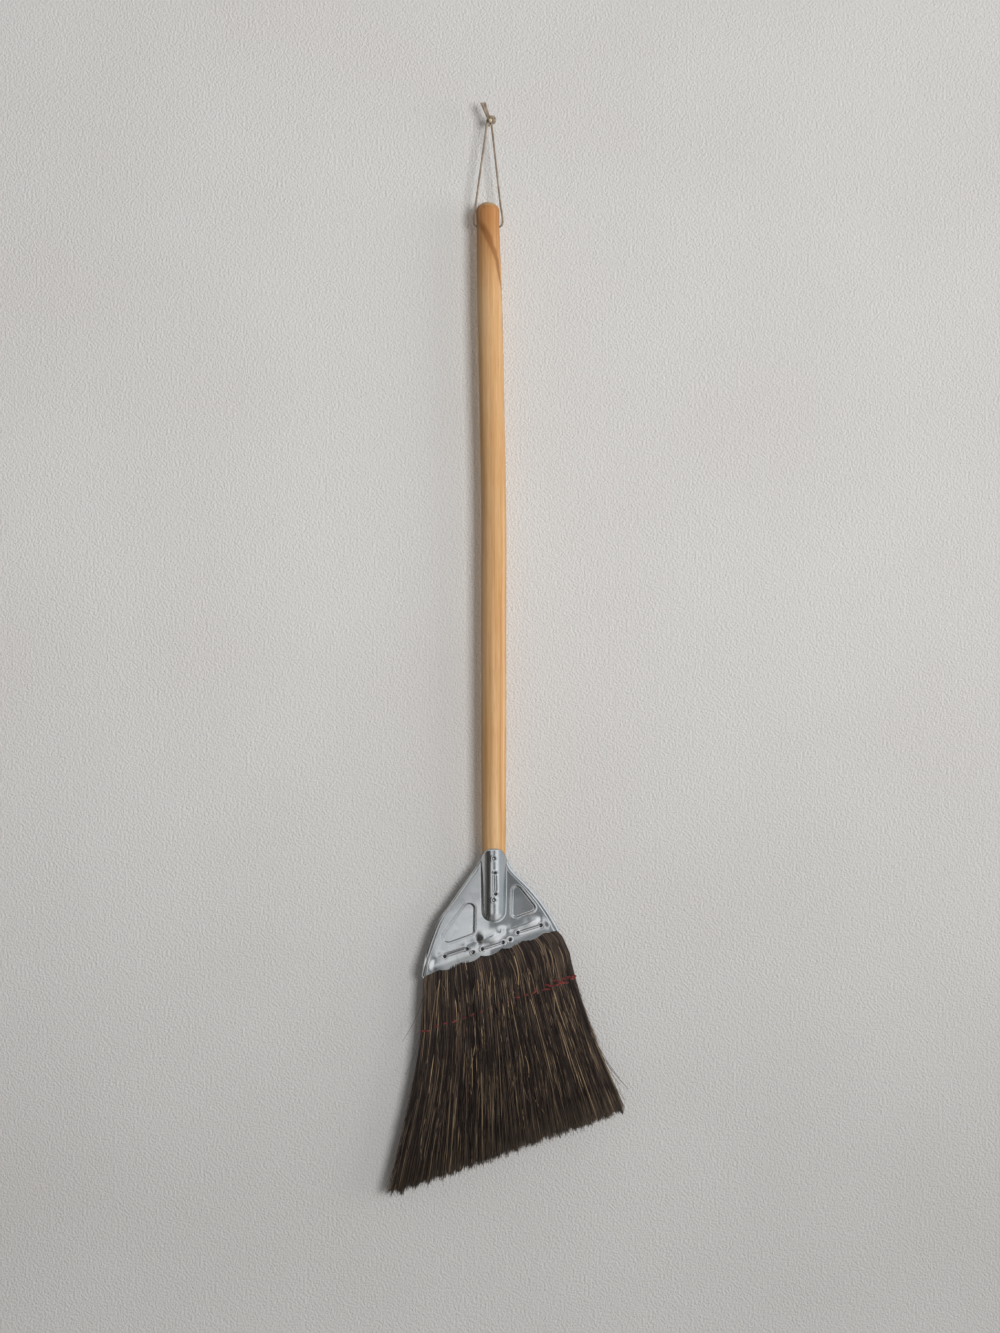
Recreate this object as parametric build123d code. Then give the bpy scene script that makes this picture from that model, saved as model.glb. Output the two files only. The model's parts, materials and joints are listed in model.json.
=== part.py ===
from build123d import *
import os
from math import cos, pi, radians, sin, sqrt, tan

os.makedirs("parts", exist_ok=True)

# A hand broom that hangs from a nail by its twine loop: a pine handle, a pressed steel cap in two
# shells, and five hanks of palm fibre, cut on the slant. All sizes are in millimetres. The origin is
# the top of the loop, where it bears on the nail; +Z is up, +X is to the right, -Y is the front.

# ---------------------------------------------------------------- driving dimensions
# Twine loop
twine_diameter = 1.7
hole_drop = 89.8                # from the top of the loop down to the cross-hole in the handle
hole_mouth_radius = 2.2         # how tightly the twine turns at the mouths of the hole
sharp_turn = 60.0               # degrees: a sharper turn than this is the twine at such a mouth
knot_left = (-3.7, 5.3)         # the two ends of the knot's barrel, in X and Z
knot_right = (6.2, 2.6)
knot_radius = 2.9
knot_tip_radius = 1.0

# Pine handle
handle_radius = 11.0
handle_tilt = 1.2               # degrees: the upper half leans to the left of the lower half
bend_run = 50.0                 # straight length that the gentle bend takes up on each side
bend_height = -325.0            # where the two straight halves would cross
exposed_length = 555.8          # from the top of the handle down to the cap
hole_below_top = 20.0
hole_radius = 1.5
hole_countersink = 1.0
neck_radius = 9.9               # at its narrowest place
neck_below_hole = 6.0           # which is this far below the cross-hole
head_radius = 10.1              # just below the domed end
neck_length = 100.0             # stretch over which the handle narrows towards its top
dome_height = 4.0
worn_corner = 9.0               # the worn left shoulder of the domed end, measured down the side
worn_width = 5.0                # across the end
worn_dip = 0.6                  # below the top of the end at its inner edge
worn_bite = 0.4                 # how far outside the side the wear begins
worn_fade = 7.2                 # further down the side, over which the wear runs out
tenon_radius = 10.35            # whittled lower end, a push fit in the socket
tenon_length = 57.0
tenon_taper = 105.0             # stretch over which the handle narrows down to the tenon
tenon_rounding = 6.0

# Pressed steel cap
sheet = 0.5
socket_x = 3.6                  # middle of the socket and of the handle's lower half
channel_radius = 10.9           # outside of the round socket pressed into the two shells
channel_length = 65.2
cap_height = 88.8               # from the top of the cap to the middle of its mouth
mouth_x = 1.3
mouth_slope = 19.6              # degrees: the mouth rises to the right
cap_half_depth = 9.5            # half the thickness of the cap at its mouth
wing_drop = 10.0                # the wings start this far below the top of the socket
wing_margin = 0.8               # and this far outside the socket
top_arch_drop = 10.8            # the cap's top edge falls this far from the middle to the sides
corner_left = (-64.7, -1.5)     # lower corners of the cap, along and across its mouth
corner_right = (61.6, -2.9)
skirt = 8.0                     # how far the wings are carried on below the mouth before trimming
skirt_left = 2.9                # and how far they spread on the way, at each side
skirt_right = 0.4
tip_inset = 1.0                 # the pressed wings start this far inside the edge of the hem
hem_width = 2.6
hem_gap = 0.05
lobes = 5
lobe_width = 18.9
lobe_depth = 2.4
panel_depth = 1.2
# Corners of the two pressed panels, along and across the mouth, and the radius of each corner
panel_left = [(4.5, 55.0), (-45.8, 18.9), (-7.9, 19.5)]
panel_left_radii = (4.5, 3.5, 2.5)
panel_right = [(37.6, 50.9), (51.1, 19.4), (25.6, 20.4)]
panel_right_radii = (3.5, 2.5, 2.0)

# Fasteners
staple_radius = 0.6
staple_bend = 1.2
staple_proud = 0.35             # the crown stands this far off the curved sheet
clinch_length = 6.0
socket_staple_leg = 12.0
socket_staple_offset = 1.4      # to the right of the socket's middle
nail_radius = 0.7
nail_head_radius = 1.9
nail_head = 0.5
nail_length = 14.0
rivet_radius = 0.6
rivet_head_radius = 1.7
rivet_head = 0.5
rivet_lift = 0.15
drill_clearance = 0.1           # round a wire or shank that passes through sheet or fibre

# Palm fibre
fibre_clearance = 0.2           # between the fibre and the sheet
hanks = 5
butt_height = 26.0              # the clamped butts reach this far up into the cap
butt_half_width = 50.0          # half the width that the hanks share out at that height
flex_drop = 6.5                 # the line about which the free fibre bends, below the mouth
flex_angle = 25.0               # degrees, each way
seat_clearance = 0.3
root_radius = 8.8               # half the thickness of the fibre where it bends
root_left = -62.5
root_right = 60.0
root_edge = 1.0
root_step = 0.1                 # the free fibre leaves the root this much thinner than it
brush_depth = 165.0             # from the mouth to the trimmed tips, square to the mouth
tips_left = -146.7
tips_right = 59.4
tips_half_depth = 13.0
tips_edge = 4.0
stitch_drop = 45.0
stitch_left = -79.8
stitch_right = 59.7
stitch_half_depth = 8.6
stitch_edge = 1.8
swell_drop = 105.0
swell_left = -113.8
swell_right = 58.0
swell_half_depth = 10.6
swell_edge = 3.0
thread_diameter = 1.3
thread_clearance = 0.15
stitch_places = (0.3, 0.7)      # where the thread passes through each hank, as shares of its width

# ---------------------------------------------------------------- places worked out from them
hole_z = -hole_drop
handle_top = hole_z + hole_below_top
cap_top = handle_top - exposed_length
tenon_end = cap_top - tenon_length
slope = radians(mouth_slope)
mouth_origin = Vector(mouth_x, 0, cap_top - cap_height)
along = Vector(cos(slope), 0, sin(slope))
across = Vector(-sin(slope), 0, cos(slope))
mouth_plane = Plane(origin=mouth_origin, x_dir=along, z_dir=(0, -1, 0))
REACH = 400.0                   # long enough to cut right through anything here
BEYOND = 30.0                   # how far a trimming shape runs on past what it trims
OVERCUT = 1.0                   # how far a cut starts outside the wall that it opens
PROBE = 0.05                    # radius of the rod that feels for a surface


def at_mouth(u, v, y=0.0):
    """A point given along the mouth, square to it (up into the cap) and from front to back."""
    return mouth_origin + along * u + across * v + Vector(0, y, 0)


def mouth_prism(outline):
    """A prism from front to back, right through the broom, on an outline drawn at the mouth."""
    return extrude(mouth_plane * outline, amount=REACH / 2, both=True)


def front_prism(outline):
    """The same on an outline drawn in X and Z."""
    return extrude(Plane.XZ * outline, amount=REACH / 2, both=True)


def one_solid(shape):
    """The largest solid of a result, without the slivers that a cut may leave."""
    return max(shape.solids(), key=lambda solid: solid.volume)


# ---------------------------------------------------------------- handle
def handle_axis_x(z):
    """X of the handle's axis at a height, above the bend."""
    return socket_x - tan(radians(handle_tilt)) * (z - bend_height)


def make_handle():
    upper = Vector(-sin(radians(handle_tilt)), 0, cos(radians(handle_tilt)))
    bend_corner = Vector(socket_x, 0, bend_height)
    turned_radius = bend_run / tan(radians(handle_tilt) / 2)

    # Lower half: a rounded tenon, a long taper, then the full round.
    bend_low = bend_height - bend_run
    low_end = bend_low - tenon_end
    with BuildSketch(Plane.XZ) as low_profile:
        with BuildLine():
            Line((0, 0), (tenon_radius - tenon_rounding, 0))
            RadiusArc((tenon_radius - tenon_rounding, 0), (tenon_radius, tenon_rounding), -tenon_rounding)
            Polyline((tenon_radius, tenon_rounding), (tenon_radius, tenon_length),
                     (handle_radius, tenon_length + tenon_taper), (handle_radius, low_end),
                     (0, low_end), (0, 0))
        make_face()
    lower_half = Pos(socket_x, 0, tenon_end) * revolve(low_profile.sketch, axis=Axis.Z)

    # The bend: a very large arc in the plane of X and Z.
    bend_centre = Vector(socket_x - turned_radius, 0, bend_low)
    bend_disc = Plane(origin=(socket_x, 0, bend_low), z_dir=(0, 0, 1)) * Circle(handle_radius)
    bend = revolve(bend_disc, axis=Axis(bend_centre, (0, -1, 0)), revolution_arc=handle_tilt)

    # Upper half: the grip, the narrowing neck and the domed end.
    upper_start = bend_corner + upper * bend_run
    upper_length = (handle_top - upper_start.Z) / upper.Z
    neck_start = upper_length - neck_length
    neck_end = upper_length - hole_below_top - neck_below_hole
    dome_start = upper_length - dome_height
    with BuildSketch(Plane.XZ) as top_profile:
        with BuildLine():
            Polyline((0, upper_length), (0, 0), (handle_radius, 0), (handle_radius, neck_start))
            TangentArc((handle_radius, neck_start), (neck_radius, neck_end), tangent=(0, 1))
            Line((neck_radius, neck_end), (head_radius, dome_start))
            TangentArc((0, upper_length), (head_radius, dome_start), tangent=(1, 0))
        make_face()
    upper_half = Plane(origin=upper_start, x_dir=(upper.Z, 0, -upper.X), z_dir=upper) * revolve(
        top_profile.sketch, axis=Axis.Z)
    handle = lower_half + bend + upper_half

    # The worn left shoulder of the domed end.
    side = handle_axis_x(handle_top) - head_radius
    worn_low = handle_top - worn_corner
    above = handle_top + worn_corner
    worn = Polyline((side - worn_width, worn_low - worn_fade), (side - worn_bite, worn_low),
                    (side + worn_width, handle_top - worn_dip), (side + worn_width, above),
                    (side - worn_width, above), close=True)
    handle -= front_prism(make_face(worn))

    # The cross-hole, with its mouths eased for the twine.
    ease_start = neck_radius - hole_countersink
    ease_end = neck_radius + 2 * hole_countersink
    flare = hole_radius + ease_end - ease_start
    drill_line = Polyline((0, -ease_end), (flare, -ease_end), (hole_radius, -ease_start),
                          (hole_radius, ease_start), (flare, ease_end), (0, ease_end), close=True)
    drill = revolve(make_face(drill_line), axis=Axis.Y)
    handle -= Pos(handle_axis_x(hole_z), 0, hole_z) * Rot(0, 0, 90) * drill
    return handle


# ---------------------------------------------------------------- cap
# The side edges of the wings, as shares of the way from the socket to the cap's lower corners, and
# the half depth of the cap on the chord between each pair of them.
wing_left = [(0.0, 0.0), (0.238, 0.181), (0.529, 0.389), (0.713, 0.526), (0.865, 0.731), (1.0, 1.0)]
wing_right = [(0.0, 0.0), (0.143, 0.183), (0.413, 0.378), (0.629, 0.567), (0.806, 0.750), (1.0, 1.0)]
wing_depth = [0.32, 0.47, 0.66, 0.80, 0.93, 1.0]


def wing_edges():
    """Pairs of points on the left and right edges of the wings, from the top to below the mouth."""
    top_z = cap_top - wing_drop
    starts = (Vector(socket_x - channel_radius - wing_margin, 0, top_z),
              Vector(socket_x + channel_radius + wing_margin, 0, top_z))
    ends = (at_mouth(*corner_left), at_mouth(*corner_right))
    pairs = []
    for left, right in zip(wing_left, wing_right):
        pair = []
        for share, start, end in zip((left, right), starts, ends):
            x = start.X + share[0] * (end.X - start.X)
            z = start.Z + share[1] * (end.Z - start.Z)
            pair.append(Vector(x, 0, z))
        pairs.append(pair)
    pairs.append([at_mouth(corner_left[0] - skirt_left, corner_left[1] - skirt),
                  at_mouth(corner_right[0] + skirt_right, corner_right[1] - skirt)])
    return pairs


def lens(left, right, half_depth, inset):
    """A lens-shaped wire on the chord from left to right, moved inwards by inset."""
    chord = right - left
    half = chord.length / 2
    radius = (half ** 2 + half_depth ** 2) / (2 * half_depth)
    centre_offset = radius - half_depth
    half_inset = sqrt((radius - inset) ** 2 - centre_offset ** 2)
    middle = (left + right) * 0.5
    step = chord.normalized() * half_inset
    bulge = Vector(0, half_depth - inset, 0)
    front = ThreePointArc(middle - step, middle - bulge, middle + step)
    back = ThreePointArc(middle + step, middle + bulge, middle - step)
    return Wire([front.edge(), back.edge()])


def cap_form(inset):
    """The pressed form of the closed cap, moved inwards from its outside by inset.

    The outside ends at the top of the socket. The forms inside it run on, so the socket is open there.
    """
    wires = []
    for (left, right), share in zip(wing_edges(), wing_depth + [1.0]):
        inwards = (right - left).normalized() * tip_inset
        wires.append(lens(left + inwards, right - inwards, share * cap_half_depth, inset))
    wings = Solid.make_loft(wires)
    radius = channel_radius - inset
    round_end = cap_top - channel_length + channel_radius
    length = cap_top - round_end + (OVERCUT if inset else 0)
    channel = Pos(socket_x, 0, round_end + length / 2) * Cylinder(radius, length)
    return wings + channel + Pos(socket_x, 0, round_end) * Sphere(radius)


def wing_outline(inset):
    """The cap's outline seen from the front, moved inwards from its side edges by inset."""
    pairs = wing_edges()
    sides = []
    for side in (0, 1):
        points = [pair[side] for pair in pairs]
        moved = []
        for index, point in enumerate(points):
            before = points[max(index - 1, 0)]
            after = points[min(index + 1, len(points) - 1)]
            edge = (after - before).normalized()
            inwards = Vector(-edge.Z, 0, edge.X) * (1 if side == 0 else -1)
            moved.append((point.X + inwards.X * inset, point.Z + inwards.Z * inset))
        sides.append(moved)
    left, right = sides
    line = Spline(*left) + Line(left[-1], right[-1]) + Spline(*right) + Line(right[0], left[0])
    return make_face(line)


def slab(outline, front, back):
    """A plate on an outline in X and Z, from one depth to another."""
    return Pos(0, back, 0) * extrude(Plane.XZ * outline, amount=back - front)


def edge_band(outer_inset, inner_inset, front, back):
    """A strip that follows both side edges of the cap."""
    band = slab(wing_outline(outer_inset), front, back)
    return band - slab(wing_outline(inner_inset), front - OVERCUT, back + OVERCUT)


def rounded_triangle(corners, radii, grow=0.0):
    """A pressed panel's outline: three corners in X and Z, each with its own radius."""
    loop = FilletPolyline(*corners, radius=radii, close=True)
    face = make_face(loop)
    return offset(face, amount=grow) if grow else face


def panel_corners():
    """The two triangular panels in X and Z, with the radii of their corners."""
    panels = []
    for corners, radii in ((panel_left, panel_left_radii), (panel_right, panel_right_radii)):
        places = [at_mouth(u, v) for u, v in corners]
        panels.append(([(place.X, place.Z) for place in places], radii))
    return panels


def panel_prisms(grow):
    prisms = [front_prism(rounded_triangle(corners, radii, grow)) for corners, radii in panel_corners()]
    return prisms[0] + prisms[1]


def trimmed_mouth():
    """Everything below the cap's scalloped lower edge."""
    half_run = lobes * lobe_width / 2
    points = [(-half_run + index * lobe_width, 0.0) for index in range(lobes + 1)]
    line = Line(corner_left, points[0])
    for start, end in zip(points, points[1:]):
        line += ThreePointArc(start, ((start[0] + end[0]) / 2, -lobe_depth), end)
    outer_left = (corner_left[0] - BEYOND, corner_left[1])
    outer_right = (corner_right[0] + BEYOND, corner_right[1])
    line += Line(points[-1], corner_right)
    line += Polyline(corner_right, outer_right, (outer_right[0], -BEYOND), (outer_left[0], -BEYOND),
                     outer_left, corner_left)
    return mouth_prism(make_face(line))


def trimmed_top():
    """Everything above the cap's arched top edge."""
    side = channel_radius + wing_margin
    low = cap_top - top_arch_drop
    left, right = (socket_x - side, low), (socket_x + side, low)
    line = ThreePointArc(left, (socket_x, cap_top), right)
    line += Polyline(right, (right[0] + BEYOND, low), (right[0] + BEYOND, cap_top + BEYOND),
                     (left[0] - BEYOND, cap_top + BEYOND), (left[0] - BEYOND, low), left)
    return front_prism(make_face(line))


def make_shells():
    outside = cap_form(0)
    outside -= panel_prisms(0) - cap_form(panel_depth)
    inside = cap_form(sheet)
    inside -= panel_prisms(sheet) - cap_form(panel_depth + sheet)
    wall = outside - inside
    half_space = Pos(0, -REACH / 2, 0)
    box = Box(REACH, REACH, 6 * REACH)
    front = wall & (half_space * box)
    back = wall - (half_space * box)

    # The front shell ends in a flat flange. The back shell has one too, folded forward over it.
    inner = hem_width + tip_inset
    front += edge_band(sheet + hem_gap, inner, -sheet, 0) - inside
    back += edge_band(0, inner, 0, sheet) - inside
    fold_back = -sheet - hem_gap
    back += edge_band(0, sheet, fold_back - sheet, sheet) - outside
    back += edge_band(0, hem_width, fold_back - sheet, fold_back) - outside
    back -= inside
    waste = trimmed_mouth() + trimmed_top()
    return front - waste, back - waste


def surface_y(form, u, v):
    """How far a closed form bulges to the back and front of a point at the mouth."""
    place = at_mouth(u, v)
    rod = Pos(place.X, 0, place.Z) * Rot(90, 0, 0) * Cylinder(PROBE, REACH)
    return (form & rod).bounding_box().max.Y


# ---------------------------------------------------------------- fasteners
def wire(points, bends, radius):
    """Round wire on straight runs joined by arcs."""
    path = FilletPolyline(*points, radius=bends)
    start = Plane(origin=path @ 0, z_dir=path % 0)
    return sweep(start * Circle(radius), path=path)


def drilled(place, radius, length):
    """A straight hole or shank from front to back through a point."""
    return Pos(place.X, place.Y, place.Z) * Rot(90, 0, 0) * Cylinder(radius, length)


# Mouth staples: where each leg passes, along and across the mouth.
mouth_staples = {
    "mouth_staple_left": ((-39.2, 9.1), (-18.8, 8.9)),
    "mouth_staple_middle": ((-6.4, 4.6), (12.5, 3.9)),
    "mouth_staple_right": ((27.1, 7.5), (48.0, 6.5)),
}
mouth_rivets = {"mouth_rivet_left": (-14.8, 4.6), "mouth_rivet_right": (18.9, 4.2)}
socket_nails = {"socket_nail_upper": 8.5, "socket_nail_lower": 44.2}    # below the top of the cap
socket_staple_span = (20.7, 39.0)


def make_mouth_staple(form, legs):
    """Crown on the front, legs through both shells, points clinched towards each other at the back."""
    stand_off = staple_radius + staple_proud
    depths = [surface_y(form, u, v) + stand_off for u, v in legs]
    front = [at_mouth(u, v, -depth) for (u, v), depth in zip(legs, depths)]
    back = [at_mouth(u, v, depth) for (u, v), depth in zip(legs, depths)]
    inwards = (back[1] - back[0]).normalized() * clinch_length
    points = [back[0] + inwards, back[0], front[0], front[1], back[1], back[1] - inwards]
    return wire(points, staple_bend, staple_radius)


def leg_holes(legs, radius):
    holes = [drilled(at_mouth(u, v), radius, REACH) for u, v in legs]
    return holes[0] + holes[1]


def make_mouth_rivet(form, u, v):
    """A shank through the whole cap with a head at the front and the back."""
    depth = surface_y(form, u, v) + rivet_lift
    place = at_mouth(u, v)
    shank = drilled(place, rivet_radius, 2 * depth)
    head_middle = depth + rivet_head / 2
    front = drilled(place - Vector(0, head_middle, 0), rivet_head_radius, rivet_head)
    back = drilled(place + Vector(0, head_middle, 0), rivet_head_radius, rivet_head)
    return shank + front + back


def socket_nail_place(drop):
    return Vector(socket_x, 0, cap_top - drop)


def make_socket_nail(drop):
    """A flat-headed nail through the front of the socket into the handle."""
    place = socket_nail_place(drop)
    under_head = -channel_radius
    shank = drilled(place + Vector(0, under_head + nail_length / 2, 0), nail_radius, nail_length)
    head = drilled(place + Vector(0, under_head - nail_head / 2, 0), nail_head_radius, nail_head)
    return shank + head


def socket_staple_places():
    x = socket_x + socket_staple_offset
    stand_off = channel_radius + staple_radius + staple_proud
    y = -sqrt(stand_off ** 2 - socket_staple_offset ** 2)
    return [Vector(x, y, cap_top - drop) for drop in socket_staple_span]


def make_socket_staple():
    high, low = socket_staple_places()
    leg = Vector(0, socket_staple_leg, 0)
    return wire([high + leg, high, low, low + leg], staple_bend, staple_radius)


def fastener_holes_in_wood():
    """Holes in the handle that the nails and the socket staple fill."""
    holes = []
    for drop in socket_nails.values():
        place = socket_nail_place(drop) + Vector(0, -channel_radius + nail_length / 2, 0)
        holes.append(drilled(place, nail_radius, nail_length))
    for place in socket_staple_places():
        holes.append(drilled(place + Vector(0, socket_staple_leg / 2, 0), staple_radius, socket_staple_leg))
    return holes


def holes_in_front_socket():
    """Clearance holes in the front shell for the same fasteners."""
    holes = []
    for drop in socket_nails.values():
        place = socket_nail_place(drop) - Vector(0, channel_radius, 0)
        holes.append(drilled(place, nail_radius + drill_clearance, channel_radius))
    for place in socket_staple_places():
        holes.append(drilled(place, staple_radius + drill_clearance, channel_radius))
    return holes


# ---------------------------------------------------------------- palm fibre
def root_form(grow):
    """The round root about which the free fibre bends: a long spindle on the bending line."""
    left, right = root_left - grow, root_right + grow
    edge, middle = root_edge + grow, root_radius + grow
    line = ThreePointArc((left, edge), ((left + right) / 2, middle), (right, edge))
    line += Polyline((right, edge), (right, 0), (left, 0), (left, edge))
    axis_plane = Plane(origin=at_mouth(0, -flex_drop), x_dir=along, z_dir=across)
    return revolve(axis_plane * make_face(line), axis=Axis(at_mouth(0, -flex_drop), along))


def brush_section(drop, left, right, half_depth, edge):
    """A flat-ended lens across the fibre, at a distance below the mouth."""
    def corner(u, y):
        return at_mouth(u, -drop, y)
    middle = (left + right) / 2
    front = ThreePointArc(corner(left, -edge), corner(middle, -half_depth), corner(right, -edge))
    back = ThreePointArc(corner(right, edge), corner(middle, half_depth), corner(left, edge))
    ends = [Line(corner(right, -edge), corner(right, edge)), Line(corner(left, edge), corner(left, -edge))]
    return Wire([front.edge(), ends[0].edge(), back.edge(), ends[1].edge()])


def brush_form(grow):
    """The free fibre from the bending line down to the trimmed tips, grown outwards."""
    neck = cos(radians(flex_angle))
    sections = [
        (flex_drop, root_left, root_right, root_radius * neck - root_step, root_edge * neck),
        (stitch_drop, stitch_left, stitch_right, stitch_half_depth, stitch_edge),
        (swell_drop, swell_left, swell_right, swell_half_depth, swell_edge),
        (brush_depth, tips_left, tips_right, tips_half_depth, tips_edge),
    ]
    wires = [brush_section(drop, left - grow, right + grow, half + grow, edge + grow)
             for drop, left, right, half, edge in sections]
    return Solid.make_loft(wires)


def hank_wedge(index, low_drop, low_left, low_right, high_drop, high_left, high_right):
    """The share of one hank between two levels: a prism with slanted sides."""
    def share(left, right, count):
        if count == 0:
            return left - REACH
        if count == hanks:
            return right + REACH
        return left + (right - left) * count / hanks
    corners = [(share(high_left, high_right, index), -high_drop),
               (share(high_left, high_right, index + 1), -high_drop),
               (share(low_left, low_right, index + 1), -low_drop),
               (share(low_left, low_right, index), -low_drop)]
    return mouth_prism(make_face(Polyline(*corners, close=True)))


def make_free_hanks():
    roots = root_form(0)
    brush = brush_form(0)
    holes = stitch_legs(thread_diameter / 2 + drill_clearance)
    made = []
    for index in range(hanks):
        upper = hank_wedge(index, flex_drop, root_left, root_right, -root_radius, root_left, root_right)
        lower = hank_wedge(index, brush_depth, tips_left, tips_right, flex_drop, root_left, root_right)
        wedge = upper + lower
        hank = (roots & wedge) + (brush & wedge)
        for hole in holes:
            hank -= hole
        made.append(one_solid(hank))
    return made


def make_butts():
    """The clamped ends of the hanks: they fill the cap from its mouth up, round the fasteners."""
    inset = sheet + fibre_clearance
    form = cap_form(inset)
    form -= panel_prisms(inset) - cap_form(panel_depth + inset)
    form -= root_form(seat_clearance)
    holes = []
    for legs in mouth_staples.values():
        holes.append(leg_holes(legs, staple_radius + drill_clearance))
    for u, v in mouth_rivets.values():
        holes.append(drilled(at_mouth(u, v), rivet_radius + drill_clearance, REACH))
    made = []
    for index in range(hanks):
        wedge = hank_wedge(index, flex_drop, root_left, root_right,
                           -butt_height, -butt_half_width, butt_half_width)
        butt = form & wedge
        for hole in holes:
            butt -= hole
        made.append(one_solid(butt))
    return made


# ---------------------------------------------------------------- stitching
def stitch_legs(radius):
    """The thread where it passes through the fibre: two passes in each hank."""
    legs = []
    share = (stitch_drop - flex_drop) / (brush_depth - flex_drop)
    left = root_left + share * (tips_left - root_left)
    right = root_right + share * (tips_right - root_right)
    for index in range(hanks):
        for place in stitch_places:
            u = left + (right - left) * (index + place) / hanks
            legs.append(drilled(at_mouth(u, -stitch_drop), radius, REACH))
    return legs


def make_stitching():
    """One row of thread right round the fibre, with its passes from front to back."""
    low = stitch_drop + thread_diameter / 2
    high = stitch_drop - thread_diameter / 2
    level = hank_wedge(0, low, -REACH, REACH, high, -REACH, REACH)
    level += hank_wedge(hanks - 1, low, -REACH, REACH, high, -REACH, REACH)
    for index in range(1, hanks - 1):
        level += hank_wedge(index, low, -REACH, REACH, high, -REACH, REACH)
    ring = (brush_form(thread_clearance + thread_diameter) - brush_form(thread_clearance)) & level
    reach = brush_form(thread_clearance + thread_diameter / 2)
    for leg in stitch_legs(thread_diameter / 2):
        ring += leg & reach
    return ring


# ---------------------------------------------------------------- twine loop
# The route of the loop, in X and Z: down the left strand, through the handle, up the right strand.
loop_route = [
    (-2.0, 1.2), (-12.4, -74.0), (-13.7, -82.0), (-13.1, -89.8),
    (10.9, -89.8), (11.5, -82.5), (9.7, -73.0), (1.6, 1.0),
]
tail_routes = {
    "cord_tail_left": [(-1.6, -0.8, 5.0), (-4.9, -1.2, 10.6), (-7.2, -0.9, 17.2)],
    "cord_tail_right": [(-0.6, 0.9, 5.4), (-2.7, 1.3, 11.2), (-3.3, 1.0, 17.6)],
}


def bend_radii(points, tightest):
    """Each arc as large as its two runs allow; at the mouths of the hole, that of the wood's edge."""
    radii = []
    for before, here, after in zip(points, points[1:], points[2:]):
        arriving, leaving = here - before, after - here
        turn = radians(arriving.get_angle(leaving))
        largest = 0.45 * min(arriving.length, leaving.length) / tan(turn / 2)
        radii.append(min(largest, tightest) if turn > radians(sharp_turn) else largest)
    return radii


def make_cord(points, tightest, diameter):
    radii = bend_radii(points, tightest)
    path = FilletPolyline(*points, radius=radii)
    start = Plane(origin=path @ 0, z_dir=path % 0)
    tube = sweep(start * Circle(diameter / 2), path=path)
    plain_volume = path.length * pi * (diameter / 2) ** 2
    print("radii", [round(radius, 1) for radius in radii], "length", round(path.length, 1),
          "volume against section times length", round(tube.volume / plain_volume, 4))
    return tube


def make_knot():
    """The overhand knot as one plain barrel, set across the nail."""
    left = Vector(knot_left[0], 0, knot_left[1])
    right = Vector(knot_right[0], 0, knot_right[1])
    middle = (left + right) * 0.5
    half = (right - left).length / 2
    line = ThreePointArc((knot_tip_radius, -half), (knot_radius, 0), (knot_tip_radius, half))
    line += Polyline((knot_tip_radius, half), (0, half), (0, -half), (knot_tip_radius, -half))
    barrel = revolve(Plane.XZ * make_face(line), axis=Axis.Z)
    return Plane(origin=middle, z_dir=right - left) * barrel


# ---------------------------------------------------------------- writing the parts
def main():
    parts = {}
    front, back = make_shells()
    outside = cap_form(0)
    handle = make_handle()
    for hole in fastener_holes_in_wood():
        handle -= hole
    for hole in holes_in_front_socket():
        front -= hole
    for name, legs in mouth_staples.items():
        parts[name] = make_mouth_staple(outside, legs)
        holes = leg_holes(legs, staple_radius + drill_clearance)
        front -= holes
        back -= holes
    for name, (u, v) in mouth_rivets.items():
        parts[name] = make_mouth_rivet(outside, u, v)
        hole = drilled(at_mouth(u, v), rivet_radius + drill_clearance, REACH)
        front -= hole
        back -= hole
    for name, drop in socket_nails.items():
        parts[name] = make_socket_nail(drop)
    parts["socket_staple"] = make_socket_staple()
    parts["handle"] = handle
    parts["front_shell"] = front
    parts["back_shell"] = back
    for index, (butt, hank) in enumerate(zip(make_butts(), make_free_hanks()), start=1):
        parts[f"fibre_butt_{index}"] = butt
        parts[f"fibre_hank_{index}"] = hank
    parts["stitching"] = make_stitching()
    loop_points = [Vector(x, 0, z) for x, z in loop_route]
    parts["cord_loop"] = make_cord(loop_points, hole_mouth_radius, twine_diameter)
    for name, route in tail_routes.items():
        parts[name] = make_cord([Vector(*point) for point in route], REACH, twine_diameter)
    parts["cord_knot"] = make_knot()
    for name, part in parts.items():
        export_step(part, f"parts/{name}.step")


main()
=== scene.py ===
import json
import random
from math import atan2, copysign, cos, exp, hypot, pi, radians, sin, sqrt, tan

import bmesh
import bpy
from mathutils import Matrix, Vector, noise
from mathutils.bvhtree import BVHTree


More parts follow.
